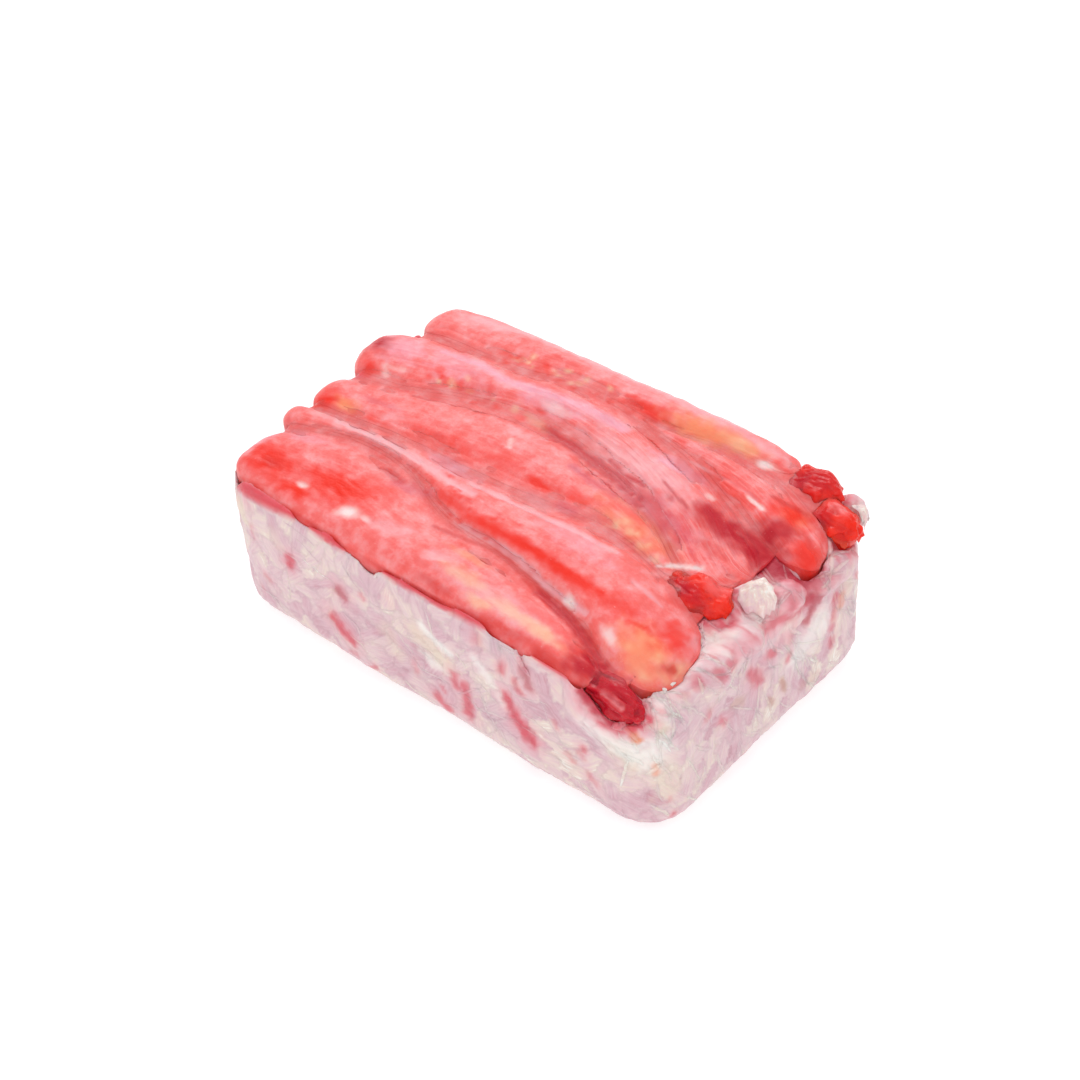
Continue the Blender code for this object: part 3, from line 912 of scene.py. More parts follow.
def above_skin_line(points):
    """How far each point is above the line where the legs' skin ends on the bed."""
    return points[:, 2] - np.interp(points[:, 0] / MM, *np.array(SKIN_LINE).T) * MM


def marked_place(points):
    """Where a point's marks are read: in a groove, just under the filled surface."""
    place = points.copy()
    place[:, 2] = np.maximum(place[:, 2], height_at(filled_heights, points) - MARKS_UNDER)
    return place


def sag_at(place, tints):
    """How far under the filled surface the skin lies in a groove; crimson creases lie deeper."""
    wavy = 1 + 0.3 * uneven(place, 9 * MM, 40)
    return GROOVE_SAG * wavy + CREASE_RELIEF * tints["crimson"]


def lifted(points, tints):
    """How far each point rises to lie just under the filled surface; deep ones stay down."""
    target = height_at(filled_heights, points) - sag_at(marked_place(points), tints)
    short = np.maximum(target - points[:, 2], 0)
    return short * smooth_step(short, LIFT_NOT_PAST, LIFT_FULLY_TO)


def ragged_painted_shade(place):
    """How strongly the painted red shade of a groove or skin line shows, from 0 to 1, not one flat
    colour.
    """
    return np.clip(0.75 + 0.6 * uneven(place, 5 * MM, 50), 0, 1)


def add_painted_shade(points, tints):
    """Adds painted red shade to the marks, in the grooves and at the skin line over the bed; gives
    how deep in a groove.
    """
    groove = smooth_step(height_at(filled_heights, points) - points[:, 2], *GROOVE_DEPTHS)
    ragged = ragged_painted_shade(marked_place(points))
    # Painted shade: the deeper in a groove, the redder the skin.
    tints["red"] = np.maximum(tints["red"], GROOVE_PAINTED_SHADE * groove * ragged)
    # Painted shade: a thin red line at the skin line, where the leg meets the bed.
    edge = smooth_step(above_skin_line(points), EDGE_WIDTH, 0)
    edge *= smooth_step(points[:, 0], *EDGE_ENDS)
    tints["red"] = np.maximum(tints["red"], EDGE_PAINTED_SHADE * edge * ragged)
    return groove


print("the skin line has", len(SKIN_LINE), "points")

# %% [markdown]
# ## The six legs
# Each leg is now put together: the sleeve, the tints by name, the lift and the relief. The
# relief fades out in the grooves, so that the skin is smooth where two legs meet, and it is
# lower near the skin line. Most legs still have their skin; the fourth and the fifth are bare
# and stringy. Every leg's near end is torn, so its last stretch is rougher.

# %% Make the legs
SEEDS_EACH = 10
TORN_RELIEF = 1.3 * MM
TORN_SIZE = (9 * MM, 2.6 * MM, 2.6 * MM)
TORN_LENGTH = 16 * MM
TORN_SEED = 20
CALM_IN_GROOVE = 0.95
CALM_AT_LINE = 0.6
NEAR_LINE = (4 * MM, 1 * MM)
STRINGY = {"leg_meat_5": 0.9}
HARDLY_STRINGY = 0.22
STRINGY_FROM = (-30 * MM, 25 * MM)


def fibrous_at(points, node):
    """How bare and stringy the muscle is: more and more so along the fourth leg."""
    if node == "leg_meat_4":
        return 0.35 + 0.75 * smooth_step(points[:, 0], *STRINGY_FROM)
    return np.full(len(points), STRINGY.get(node, HARDLY_STRINGY))


def dress_skin(piece, fibre, fibrous, tints):
    """Stores what the skin's material reads."""
    store(piece.data, "fibre", fibre)
    store(piece.data, "fibrous", fibrous)
    for name, amount in tints.items():
        store(piece.data, name, amount)


def make_leg(node, number):
    """The finished surface of one leg, in place of its solid."""
    grid, starts = sleeves[node]
    fibre = fibre_coordinates(grid, starts)
    rings, around = grid.shape[:2]
    tips = np.array([grid[0].mean(0), grid[-1].mean(0)])
    points = np.vstack([grid.reshape(-1, 3), tips])
    fibre = np.vstack([fibre.reshape(-1, 3), fibre[0, 0], fibre[-1, 0]])
    tints = paint(marked_place(points), ALL_LEG_MARKS, SKIN_TINTS)
    groove = add_painted_shade(points, tints)
    points[:, 2] += lifted(points, tints)
    piece = new_piece(f"leg_{number}", points, sleeve_faces(rings, around), red_skin)
    fibrous = fibrous_at(points, node)
    relief = leg_relief(points, fibre, SEEDS_EACH * number, fibrous)
    for name in RIDGE_TINTS:
        relief += RIDGE_RELIEF * tints[name]
    torn = smooth_step(points[:, 0], points[:, 0].max() - TORN_LENGTH, points[:, 0].max())
    relief += TORN_RELIEF * torn * uneven(points, TORN_SIZE, number + TORN_SEED)
    near_line = smooth_step(np.abs(above_skin_line(points)), *NEAR_LINE)
    push_out(piece.data, relief * (1 - CALM_IN_GROOVE * groove) * (1 - CALM_AT_LINE * near_line))
    dress_skin(piece, fibre, fibrous, tints)
    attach(piece, "root")
    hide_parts(node)
    print(piece.name, "has", len(piece.data.polygons), "faces")
    return piece


legs = [make_leg(node, number) for number, node in enumerate(LEGS, start=1)]

# %% [markdown]
# ## Loose skin in the grooves
# The legs still have a hair's breadth between them. A thin sheet of loose skin and frozen juice
# lies in each groove, a few hundredths of a millimetre under the lifted flanks, and closes it.
# It is the filled surface itself, cut out where the grooves are, and it ends a little before
# the legs do. It has the same marks as the legs, so a dark band runs on across the groove, and
# the red painted shade of a groove all over.

# %% Make the loose skin
SHEET_UNDER_LEGS = 0.04 * MM
SHEET_THICKNESS = 1.2 * MM
SHOWS_WHERE_DEEPER = 0.6 * MM
SHEET_MARGIN = 1.3 * MM
SHEET_ENDS_AT = 73 * MM
SHEET_OVER = 51 * MM
SHEET_STRINGY = 0.5


def make_loose_skin():
    """One sheet over all the grooves, a little thicker than real skin so that it is solid."""
    wanted = ((filled_heights - open_heights) > SHOWS_WHERE_DEEPER) & (filled_heights > SHEET_OVER)
    wanted = spread(wanted.astype(float), SHEET_MARGIN, np.maximum) > 0
    wanted[lid_x > SHEET_ENDS_AT] = False
    number = -np.ones(wanted.shape, int)
    number[wanted] = np.arange(wanted.sum())
    i, j = np.nonzero(wanted)
    points = np.column_stack([lid_x[i], lid_y[j], filled_heights[i, j]])
    corners = np.stack([number[:-1, :-1], number[1:, :-1], number[1:, 1:], number[:-1, 1:]], axis=-1)
    faces = [tuple(quad) for quad in corners.reshape(-1, 4).tolist() if min(quad) >= 0]
    place = points - (0, 0, MARKS_UNDER)
    tints = paint(place, ALL_LEG_MARKS, SKIN_TINTS)
    # Painted shade: the sheet lies in the grooves, so all of it gets the groove's red.
    tints["red"] = np.maximum(tints["red"], GROOVE_PAINTED_SHADE * ragged_painted_shade(place))
    points[:, 2] -= sag_at(place, tints) + SHEET_UNDER_LEGS
    piece = new_piece("loose_skin", points, faces, red_skin)
    dress_skin(piece, points, np.full(len(points), SHEET_STRINGY), tints)
    mesh = bmesh.new()
    mesh.from_mesh(piece.data)
    bare = [vertex for vertex in mesh.verts if not vertex.link_faces]
    bmesh.ops.delete(mesh, geom=bare, context="VERTS")
    mesh.to_mesh(piece.data)
    mesh.free()
    solid = piece.modifiers.new("thickness", "SOLIDIFY")
    solid.thickness = SHEET_THICKNESS
    solid.offset = -1.0
    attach(piece, "root")
    print(piece.name, "has", len(piece.data.polygons), "faces")
    return piece


loose_skin = make_loose_skin()

# %% [markdown]
# ## White crab flesh
# Without its skin the muscle is white, a little lilac where it is frozen through and creamy
# where it is dry. The bed, the white bits and the strands have it. Each shred has its own tone,
# which the mesh carries as a number from 0 to 1, and its own grain direction. Ice over it gives
# the same broad shine as on the legs, a bit duller because the sides are rough with frost.

# %% White flesh, frozen shredded crab muscle
FLESH_TINTS = {
    "skin": "EE5C52",
    "cream": "E9D6C4",
    "bare": "F7F1EC",
    "blush": "EDAEB6",
    "orange": "F08A5A",
    "red": "D8485A",
    "crimson": "B8283E",
    "brown": "C08A78",
}
FLESH_TONES = ((0.0, "CC98A4"), (0.3, "DAB4BE"), (0.6, "E4C8CA"), (0.85, "EAD6CC"), (1.0, "F6ECE6"))
GRAIN_WIDTH = 0.7 * MM
GRAIN_LENGTH = 6.0 * MM
CLOUD_SIZE = 9.0 * MM
CLOUD_IN_TONE = 0.22
GRAIN_IN_TONE = 0.16
FLESH_ROUGHNESS = (0.38, 0.62)
FLESH_SUBSURFACE_DEPTH = 2.0 * MM
ICE_ON_FLESH_ROUGHNESS = 0.35
FLESH_IOR = 1.36


def white_flesh_material():
    """A ramp of tones, made uneven by a soft cloud and by the grain, with the tints over it."""
    material = bpy.data.materials.new("frozen_crab_flesh")
    material.use_nodes = True
    tree = material.node_tree
    shader = tree.nodes["Principled BSDF"]
    place = add_node(tree, "ShaderNodeTexCoord").outputs["Object"]
    fibre = add_node(tree, "ShaderNodeAttribute", attribute_name="fibre").outputs["Vector"]
    grain_place = add_node(
        tree, "ShaderNodeMapping",
        {"Vector": fibre, "Scale": (1 / GRAIN_LENGTH, 1 / GRAIN_WIDTH, 1 / GRAIN_WIDTH)},
    ).outputs["Vector"]
    grain = add_node(
        tree, "ShaderNodeTexNoise", {"Vector": grain_place, "Scale": 1.0, "Detail": 3.0},
    ).outputs["Fac"]
    cloud = add_node(
        tree, "ShaderNodeTexNoise", {"Vector": place, "Scale": 1 / CLOUD_SIZE, "Detail": 4.0},
    ).outputs["Fac"]
    tone = add_node(tree, "ShaderNodeAttribute", attribute_name="tone").outputs["Fac"]
    for noise, most in ((cloud, CLOUD_IN_TONE), (grain, GRAIN_IN_TONE)):
        change = remap(tree, noise, 0.3, 0.7, -most, most)
        tone = add_node(tree, "ShaderNodeMath", {0: tone, 1: change}, operation="ADD").outputs[0]
    ramp = add_node(tree, "ShaderNodeValToRGB", {"Fac": tone})
    while len(ramp.color_ramp.elements) < len(FLESH_TONES):
        ramp.color_ramp.elements.new(0.5)
    for element, (position, value) in zip(ramp.color_ramp.elements, FLESH_TONES):
        element.position = position
        element.color = hex_colour(value)
    colour = ramp.outputs["Color"]
    for name, value in FLESH_TINTS.items():
        amount = add_node(tree, "ShaderNodeAttribute", attribute_name=name).outputs["Fac"]
        colour = blend_colour(tree, colour, hex_colour(value), amount)
    bump = add_node(
        tree, "ShaderNodeBump", {"Height": grain, "Strength": 0.4, "Distance": 0.4 * MM},
    ).outputs["Normal"]
    tree.links.new(colour, shader.inputs["Base Color"])
    tree.links.new(remap(tree, grain, 0.3, 0.7, *FLESH_ROUGHNESS), shader.inputs["Roughness"])
    tree.links.new(bump, shader.inputs["Normal"])
    shader.inputs["IOR"].default_value = FLESH_IOR
    shader.inputs["Subsurface Weight"].default_value = 0.35
    shader.inputs["Subsurface Radius"].default_value = (1.0, 0.7, 0.7)
    shader.inputs["Subsurface Scale"].default_value = FLESH_SUBSURFACE_DEPTH
    shader.inputs["Coat Weight"].default_value = 0.2
    shader.inputs["Coat Roughness"].default_value = ICE_ON_FLESH_ROUGHNESS
    shader.inputs["Coat IOR"].default_value = ICE_IOR
    return material


white_flesh = white_flesh_material()
print("made", white_flesh.name, "with", len(FLESH_TONES), "tones")

# %% [markdown]
# ## Remeshing
# The bed and the torn bits have no length to wrap a sleeve along. Their solids are remeshed
# instead: Blender fills them with little cubes, rebuilds the surface from even quads, and a
# smoothing modifier rubs the facets down. The result is kept as a plain mesh.

# %% Remesh a solid
BED_VOXEL = 0.97 * MM
BED_SMOOTHING = 6
BIT_VOXEL = 0.34 * MM
BIT_SMOOTHING = 10


def remeshed(node, voxel, name, material, smoothing):
    """A node's solid rebuilt from small even quads, with its facets rubbed down."""
    mesh = merged_copy(node)
    source = bpy.data.meshes.new(name + "_source")
    mesh.to_mesh(source)
    mesh.free()
    piece = bpy.data.objects.new(name, source)
    bpy.context.scene.collection.objects.link(piece)
    modifier = piece.modifiers.new("even_quads", "REMESH")
    modifier.mode = "VOXEL"
    modifier.voxel_size = voxel
    rub = piece.modifiers.new("rub_down", "SMOOTH")
    rub.factor = 0.5
    rub.iterations = smoothing
    graph = bpy.context.evaluated_depsgraph_get()
    result = bpy.data.meshes.new_from_object(piece.evaluated_get(graph))
    piece.modifiers.clear()
    piece.data = result
    result.name = name
    result.shade_smooth()
    result.materials.clear()
    result.materials.append(material)
    bpy.data.meshes.remove(source)
    return piece


print("remeshing at", BED_VOXEL / MM, "mm for the bed and", BIT_VOXEL / MM, "mm for the bits")

# %% [markdown]
# ## The pressed bed
# Hundreds of shreds, pressed flat against the sides of a box, make the bed. Seen from outside
# they are overlapping flakes 9 to 20 mm long, each with its own lie. We remesh the solid bed
# into even little quads, scatter flake centres over it, and lift every point to the highest
# flake that covers it. The flake that wins also gives the point its tone and grain direction,
# so the relief and the colour agree, as they do on real layers.

# %% Flakes over a surface
FLAKE_SPACING = 5.6 * MM
FLAKE_HALF_LENGTH = (4.5 * MM, 10.0 * MM)
FLAKE_HALF_WIDTH = (2.0 * MM, 4.2 * MM)
FLAKE_HEIGHT = (0.12 * MM, 0.42 * MM)
FLAKE_EDGE_SHARE = 0.35
FLAKES_TRIED = 9
FLAKE_TONE_FROM, FLAKE_TONE_SPAN, FLAKE_TONE_SHAPE = 0.2, 0.6, 1.8
RIM_TONE = 0.12
TONE_BETWEEN_FLAKES = 0.3
GRAIN_SHIFT = 0.013
LIE_SPREAD = 0.75
LIE_AT_ENDS = math.radians(60)
LIE_JITTER = 0.15


def flake_centres(points, rng):
    """A random point in each cubic cell that the surface runs through, one flake for each."""
    centres, taken = [], set()
    for index in rng.permutation(len(points)):
        cell = tuple(np.floor(points[index] / FLAKE_SPACING).astype(int))
        if cell not in taken:
            taken.add(cell)
            centres.append(index)
    return centres


def nearest_flakes(points, at):
    """For each point, the numbers of the few flakes whose centres are nearest."""
    tree = KDTree(len(at))
    for number, place in enumerate(at):
        tree.insert(place, number)
    tree.balance()
    return np.array([[found[1] for found in tree.find_n(point, FLAKES_TRIED)] for point in points])


def flake_field(points, normals, rng, lie):
    """For each point: the relief, the winning flake's tone, and the place along its grain."""
    centres = flake_centres(points, rng)
    count = len(centres)
    at, up = points[centres], normals[centres]
    along = lie(at, up, rng)
    along -= up * np.einsum("ij,ij->i", along, up)[:, None]
    along /= np.linalg.norm(along, axis=1)[:, None]
    across = np.cross(up, along)
    length = rng.uniform(*FLAKE_HALF_LENGTH, count)
    width = rng.uniform(*FLAKE_HALF_WIDTH, count)
    height = rng.uniform(*FLAKE_HEIGHT, count)
    tone = FLAKE_TONE_FROM + FLAKE_TONE_SPAN * rng.beta(FLAKE_TONE_SHAPE, FLAKE_TONE_SHAPE, count)
    near = nearest_flakes(points, at)
    offset = points[:, None, :] - at[near]
    u = np.einsum("ijk,ijk->ij", offset, along[near])
    v = np.einsum("ijk,ijk->ij", offset, across[near])
    inside = 1 - (u / length[near]) ** 2 - (v / width[near]) ** 2
    dome = np.sqrt(np.clip(inside, 0, 1))
    lift = height[near] * (FLAKE_EDGE_SHARE + (1 - FLAKE_EDGE_SHARE) * dome)
    lift = np.where(inside > 0, lift, 0)
    winner = lift.argmax(axis=1)
    rows = np.arange(len(points))
    flake = near[rows, winner]
    covered = lift[rows, winner]
    grain = np.column_stack([u[rows, winner], v[rows, winner], flake * GRAIN_SHIFT])
    rim = smooth_step(inside[rows, winner], 0.35, 0.0)
    return covered, np.where(covered > 0, tone[flake] + RIM_TONE * rim, TONE_BETWEEN_FLAKES), grain


def lie_of_shreds(at, up, rng):
    """Which way each flake points: along the block on its long sides, steeper at its ends."""
    steep = np.abs(up[:, 0])
    angle = rng.normal(0, LIE_SPREAD, len(at)) + steep * LIE_AT_ENDS * rng.choice((-1, 1), len(at))
    flat = np.column_stack([np.cos(angle), np.cos(angle), np.sin(angle)])
    return flat + rng.normal(0, LIE_JITTER, flat.shape)


print("flakes", [2 * half / MM for half in FLAKE_HALF_LENGTH], "mm long")

# %% [markdown]
# ## Flecks in the bed
# Bits of red skin are pressed in among the shreds, with a paler halo where their juice ran.
# The clearest ones are placed one by one on the two sides that the photograph shows. Each is a
# tint, the two ends of a short line in three dimensions, its width and its strength. Smaller
# ones are strewn on every side by a seeded draw.

# %% Flecks placed one by one
BED_MARKS = [
    ("red", (-53.4, -60, 34.5), (-53.8, -60, 31.5), 2.6, 0.8),
    ("crimson", (-33.5, -60, 33), (-31, -60, 31), 2.8, 0.65),
    ("red", (-35.5, -61, 20), (-28, -61, 15.5), 3.4, 0.85),
    ("red", (-36, -60, 21.5), (-27, -60, 18.5), 1.2, 0.5),
    ("red", (-70, -59, 38), (-69.5, -59, 34), 1.4, 0.35),
    ("red", (-66, -60, 20), (-64, -60, 18), 1.6, 0.4),
    ("red", (-24, -60, 36), (-23, -60, 35), 1.2, 0.45),
    ("red", (13, -59, 24), (13.8, -59, 20.5), 2.8, 0.7),
    ("red", (17.3, -59, 22), (18.4, -59, 11.5), 3.0, 0.75),
    ("red", (6, -59.3, 11), (10.5, -59.3, 8), 2.4, 0.7),
    ("red", (8, -59, 16), (9, -59, 14.5), 1.2, 0.5),
    ("crimson", (41, -60, 42.5), (44, -60, 39), 2.4, 0.6),
    ("red", (38, -60, 38), (40.5, -60, 35), 2.0, 0.6),
    ("red", (34.5, -60, 30), (39, -60.5, 24), 3.0, 0.85),
    ("red", (39, -60.5, 24), (44.5, -61, 18.5), 3.6, 0.9),
    ("red", (-3, -60, 21), (-2, -60, 17), 1.3, 0.4),
    ("red", (53, -60, 31), (54, -60, 29), 1.4, 0.4),
    ("red", (58, -60, 20), (60, -60, 18), 1.6, 0.4),
    ("red", (66, -60, 16), (68, -60, 13.5), 2.0, 0.4),
    ("cream", (-76, -59, 43), (-74.5, -59, 39), 3.4, 0.85),
    ("cream", (-60, -60, 40), (-57, -60, 37), 3.0, 0.4),
    ("cream", (-14, -60, 28), (-9, -60, 20), 4.0, 0.4),
    ("cream", (-1, -60, 34), (8, -60, 28), 6.5, 0.75),
    ("bare", (1, -60, 38), (12, -60, 33), 2.2, 0.8),
    ("bare", (0, -60, 25), (12, -60, 23), 2.2, 0.7),
    ("bare", (22, -60, 38), (34, -60, 26), 2.4, 0.6),
    ("bare", (70, -58, 40), (84, -55, 34), 9.0, 0.75),
    ("cream", (76, -58, 36), (80, -58, 30), 7.0, 0.7),
    ("cream", (86, -53, 30), (88, -50, 18), 6.0, 0.55),
    ("bare", (80, -52.5, 49), (83.5, -50.5, 47), 4.6, 1.0),
    ("cream", (85.7, -54, 46), (86.3, -52, 43.5), 3.4, 0.95),
    ("orange", (81, -58.6, 45), (82.4, -57.6, 40.5), 2.0, 0.8),
    ("orange", (86.3, -54.3, 29), (86.5, -54, 26.5), 2.0, 0.5),
    # The crimson pool between the fourth and fifth legs runs on over the ledge: dark red flesh and
    # painted shade.
    ("crimson", (62, 14, 48.5), (73, 19, 48.5), 9.0, 1.0),
    ("crimson", (74, 16, 48.5), (82, 24, 48.5), 7.0, 0.95),
    ("blush", (60, -40, 48.5), (84, 10, 48.5), 14.0, 0.3),
    # Painted light: bare white over the ledge, which lightens the shade that the legs' ends cast on
    # it.
    ("bare", (80, -40, 48.8), (84, -2, 48.8), 7.0, 0.6),
    ("blush", (84, 9, 48.5), (83, 20, 48), 9.0, 1.0),
    ("red", (85, 11, 48.5), (82, 22, 48), 4.0, 0.7),
    ("crimson", (76, 11, 48.8), (84, 21, 48.5), 4.0, 0.7),
    ("red", (84, 10, 48), (88, 30, 46), 4.0, 0.6),
    ("crimson", (58, -59, 49.6), (78, -60, 46.8), 2.6, 0.95),
    ("crimson", (63, -59, 46.4), (75, -60, 44.0), 1.8, 0.9),
    ("red", (58, -58, 47.5), (66, -59, 46.0), 2.0, 0.8),
    ("bare", (65, -59.5, 47.4), (76, -60.5, 45.2), 0.7, 0.85),
    ("crimson", (60, -56, 48.5), (67, -58, 46.8), 3.0, 0.85),
    ("crimson", (58, -50, 49.5), (66, -52, 49.5), 7.0, 0.9),
    ("blush", (87, -16.7, 48.8), (87.3, 5.4, 44.4), 5.0, 0.85),
    ("red", (87.3, -4, 47), (87.3, 12, 43.8), 3.0, 0.65),
    ("red", (87.2, 8, 44.4), (87.2, 20.7, 42.9), 3.4, 0.75),
    ("crimson", (87.7, 20, 43), (88, 24, 40.5), 3.2, 0.75),
    ("crimson", (88, 24, 40.5), (88.4, 18, 35.5), 2.4, 0.75),
    ("blush", (88.3, 12, 38), (88.4, -2, 36), 4.0, 0.6),
    ("red", (86, -31, 49.5), (88.4, -29, 43), 1.6, 0.55),
    ("red", (88.6, -28.5, 49), (88.8, -25.5, 46), 2.6, 0.6),
    ("red", (88.8, -22, 47.5), (88.8, -19, 45.5), 2.6, 0.6),
    ("red", (88.7, -10.5, 35), (88.7, -6.5, 29.5), 3.0, 0.65),
    ("red", (88.3, -0.7, 36), (88.3, 1.6, 34.4), 2.2, 0.65),
    ("brown", (90.7, 4.2, 21.5), (90.7, 5.4, 17.8), 1.8, 0.7),
    ("brown", (90.4, -2.5, 19.4), (90.4, -1.4, 16.8), 1.8, 0.6),
    ("brown", (89.3, -19.5, 30.5), (89.3, -15.5, 28), 2.4, 0.45),
    ("red", (89.3, -27, 29), (89.3, -24.5, 26.5), 2.0, 0.55),
    ("orange", (88.8, 37, 33), (88.8, 36.2, 29.5), 2.2, 0.5),
    ("red", (88.8, 33.6, 32), (88.8, 31.4, 24), 2.0, 0.55),
    ("red", (90.3, 30.6, 20), (90.3, 30, 17.8), 1.6, 0.5),
    ("cream", (88.8, 38, 44), (88.8, 40, 34), 4.0, 0.55),
    ("bare", (88.6, 26, 30), (89, 12, 26), 7.0, 0.65),
    ("brown", (90, 15, 12), (90, 22, 11), 3.0, 0.3),
]
print(len(BED_MARKS), "flecks placed by hand")

# %% [markdown]
# A fleck is drawn like a stroke on the legs, but round a line in space, so that it also lies
# right on the steep sides. Only the red ones have a halo.

# %% Flecks and their halos
STREWN_FLECKS = 120
STREWN_HALF_LENGTH = (0.6, 2.2)
STREWN_HALF_WIDTH = (0.4, 1.3)
STREWN_STRENGTH = (0.25, 0.7)
FLECK_SPREAD = 1.75
FLECK_RAGGED_SIZE = 2.4 * MM
FLECK_BORDER = (1.4, 0.2)
HALO_BORDER = (3.0, 0.8)
HALO_STRENGTH = 0.5
HALO_TINTS = ("red", "crimson")


def line_mark(points, start, end, width, strength, seed):
    """A stroke with its ends placed in three dimensions, in mm, and the halo round it."""
    start, end = np.array(start, float) * MM, np.array(end, float) * MM
    share = np.clip((points - start) @ (end - start) / ((end - start) @ (end - start)), 0, 1)
    away_from = np.linalg.norm(points - start - share[:, None] * (end - start), axis=1)
    away_from = away_from / (FLECK_SPREAD * width * MM / 2)
    away_from += PATCH_RAGGEDNESS * uneven(points, FLECK_RAGGED_SIZE, seed)
    core = strength * smooth_step(away_from, *FLECK_BORDER)
    return core, strength * HALO_STRENGTH * smooth_step(away_from, *HALO_BORDER)


def strewn_flecks(points, rng):
    """Small flecks all over, each a short line of a few millimetres at most."""
    cores, halos = np.zeros(len(points)), np.zeros(len(points))
    for number in range(STREWN_FLECKS):
        centre = points[rng.integers(len(points))]
        half = rng.normal(size=3)
        half *= rng.uniform(*STREWN_HALF_LENGTH) / np.linalg.norm(half)
        width = 2 * rng.uniform(*STREWN_HALF_WIDTH)
        start, end = centre / MM - half, centre / MM + half
        core, halo = line_mark(points, start, end, width, rng.uniform(*STREWN_STRENGTH), number)
        cores, halos = np.maximum(cores, core), np.maximum(halos, halo)
    return cores, halos


print(STREWN_FLECKS, "flecks to strew")

# %% [markdown]
# ## Where the bed meets the legs
# The solid bed ends a few millimetres short of the legs' skin, and in a straight edge. On the
# real block the shreds were pressed up against the legs before they froze. Three moves do that
# to the bed's points. Along the sides and the far end its rim is stretched up to the skin line,
# but never through a leg. Its top is shifted outwards at the back, and at the front under the
# flat red bit, to lie flush with them. At the torn end the shreds climb up the legs' ends and
# round the bits, but stay below the loose skin in the grooves.

# %% Rim, flush sides and climb
SOLID_RIM = 46.5 * MM
RIM_ROOT = 40 * MM
FRONT_RIM = (55.5 * MM, 58.5 * MM)
FRONT_RIM_ENDS = (84 * MM, 76 * MM)
BACK_RIM = (51.5 * MM, 54.5 * MM)
BACK_RIM_ENDS = (64 * MM, 56 * MM)
FAR_RIM = (79 * MM, 83 * MM)
RIM_LOOKS_IN = 0.94
RIM_UNDER_LEG = 0.8 * MM
BACK_SHIFT = 3.2 * MM
BIT_SHIFT = 1.3 * MM
SHIFT_HEIGHTS = (30 * MM, 42 * MM)
SHIFT_SIDES = (50 * MM, 57 * MM)
FLAT_BIT_MIDDLE = 71 * MM
FLAT_BIT_REACH = (15 * MM, 8 * MM)
FRINGE_SIZE = (9 * MM, 1.8 * MM, 9 * MM)
FRINGE_GAIN = 1.6
CLIMB_BELOW = 0.5 * MM
CLIMB_UNDER_SHEET = 2.4 * MM
CLIMB_AT_WHITE = 1.0 * MM
WHITE_REACH = 4 * MM
FILL_BELOW = 2.0 * MM
FILL_FROM = (63 * MM, 68 * MM)
FILLED_ROUND = ("white_shred_1", "red_shred_4")
FILL_REACH = 2.5 * MM
CLIMB_UNDER_TOPS = (9 * MM, 6 * MM)
CLIMB_FROM = (50 * MM, 58 * MM)
CLIMB_ACROSS = (57 * MM, 47 * MM)


def nearness(points, nodes, reach):
    """1 on any of the nodes, falling to 0 at that distance from them."""
    closest = np.full(len(points), 1.0)
    for node in nodes:
        tree = surfaces[node]
        found = (tree.find_nearest(point, reach)[3] for point in points)
        closest = np.minimum(closest, [1.0 if gap is None else gap for gap in found])
    return smooth_step(closest, reach, 0.3 * reach)


def on_rim(points):
    """1 along the block's sides and far end, where the legs' skin ends on the bed, 0 elsewhere."""
    front = smooth_step(-points[:, 1], *FRONT_RIM) * smooth_step(points[:, 0], *FRONT_RIM_ENDS)
    back = smooth_step(points[:, 1], *BACK_RIM) * smooth_step(points[:, 0], *BACK_RIM_ENDS)
    far_end = smooth_step(-points[:, 0], *FAR_RIM)
    return np.max([front, back, far_end], axis=0)


def rim_rise(points):
    """Stretches the bed's top edge up to the line where the legs' skin ends."""
    line = points[:, 2] - above_skin_line(points)
    stretch = (line - SOLID_RIM) / (SOLID_RIM - RIM_ROOT)
    behind = height_at(open_heights, points * (RIM_LOOKS_IN, RIM_LOOKS_IN, 1))
    room = np.maximum(behind - RIM_UNDER_LEG - points[:, 2], 0)
    rise = on_rim(points) * stretch * np.clip(points[:, 2] - RIM_ROOT, 0, None)
    return np.minimum(rise, room)


def flush(points):
    """Moves the bed's top outwards at the back, and at the front under the flat red bit."""
    high = smooth_step(points[:, 2], *SHIFT_HEIGHTS)
    shift = np.zeros_like(points)
    shift[:, 1] = BACK_SHIFT * high * smooth_step(points[:, 1], *SHIFT_SIDES)
    under_bit = smooth_step(np.abs(points[:, 0] - FLAT_BIT_MIDDLE), *FLAT_BIT_REACH)
    shift[:, 1] -= BIT_SHIFT * high * under_bit * smooth_step(-points[:, 1], *SHIFT_SIDES)
    return shift


def climb(points):
    """How far the shreds at the torn end climb up the legs' ends and the bits that lie there."""
    fringe = uneven(points, FRINGE_SIZE, 14)
    slope = height_at(soft_heights, points) - CLIMB_BELOW * (1 - FRINGE_GAIN * fringe)
    slope += CLIMB_AT_WHITE * nearness(points, WHITE_BITS, WHITE_REACH)
    lid = height_at(filled_heights, points)
    fill = np.maximum(lid - FILL_BELOW - slope, 0)
    slope += fill * smooth_step(points[:, 0], *FILL_FROM) * nearness(points, FILLED_ROUND, FILL_REACH)
    in_groove = (lid > SHEET_OVER) & (points[:, 0] < SHEET_ENDS_AT)
    slope[in_groove] = np.minimum(slope, lid - CLIMB_UNDER_SHEET)[in_groove]
    outside = smooth_step(height_at(open_heights, points) - slope, *CLIMB_UNDER_TOPS)
    near_end = smooth_step(points[:, 0], *CLIMB_FROM) * (points[:, 2] > RIM_ROOT)
    near_end *= smooth_step(points[:, 1], *CLIMB_ACROSS)
    return np.maximum(slope - points[:, 2], 0) * outside * near_end


print("the rim rises from", SOLID_RIM / MM, "mm")

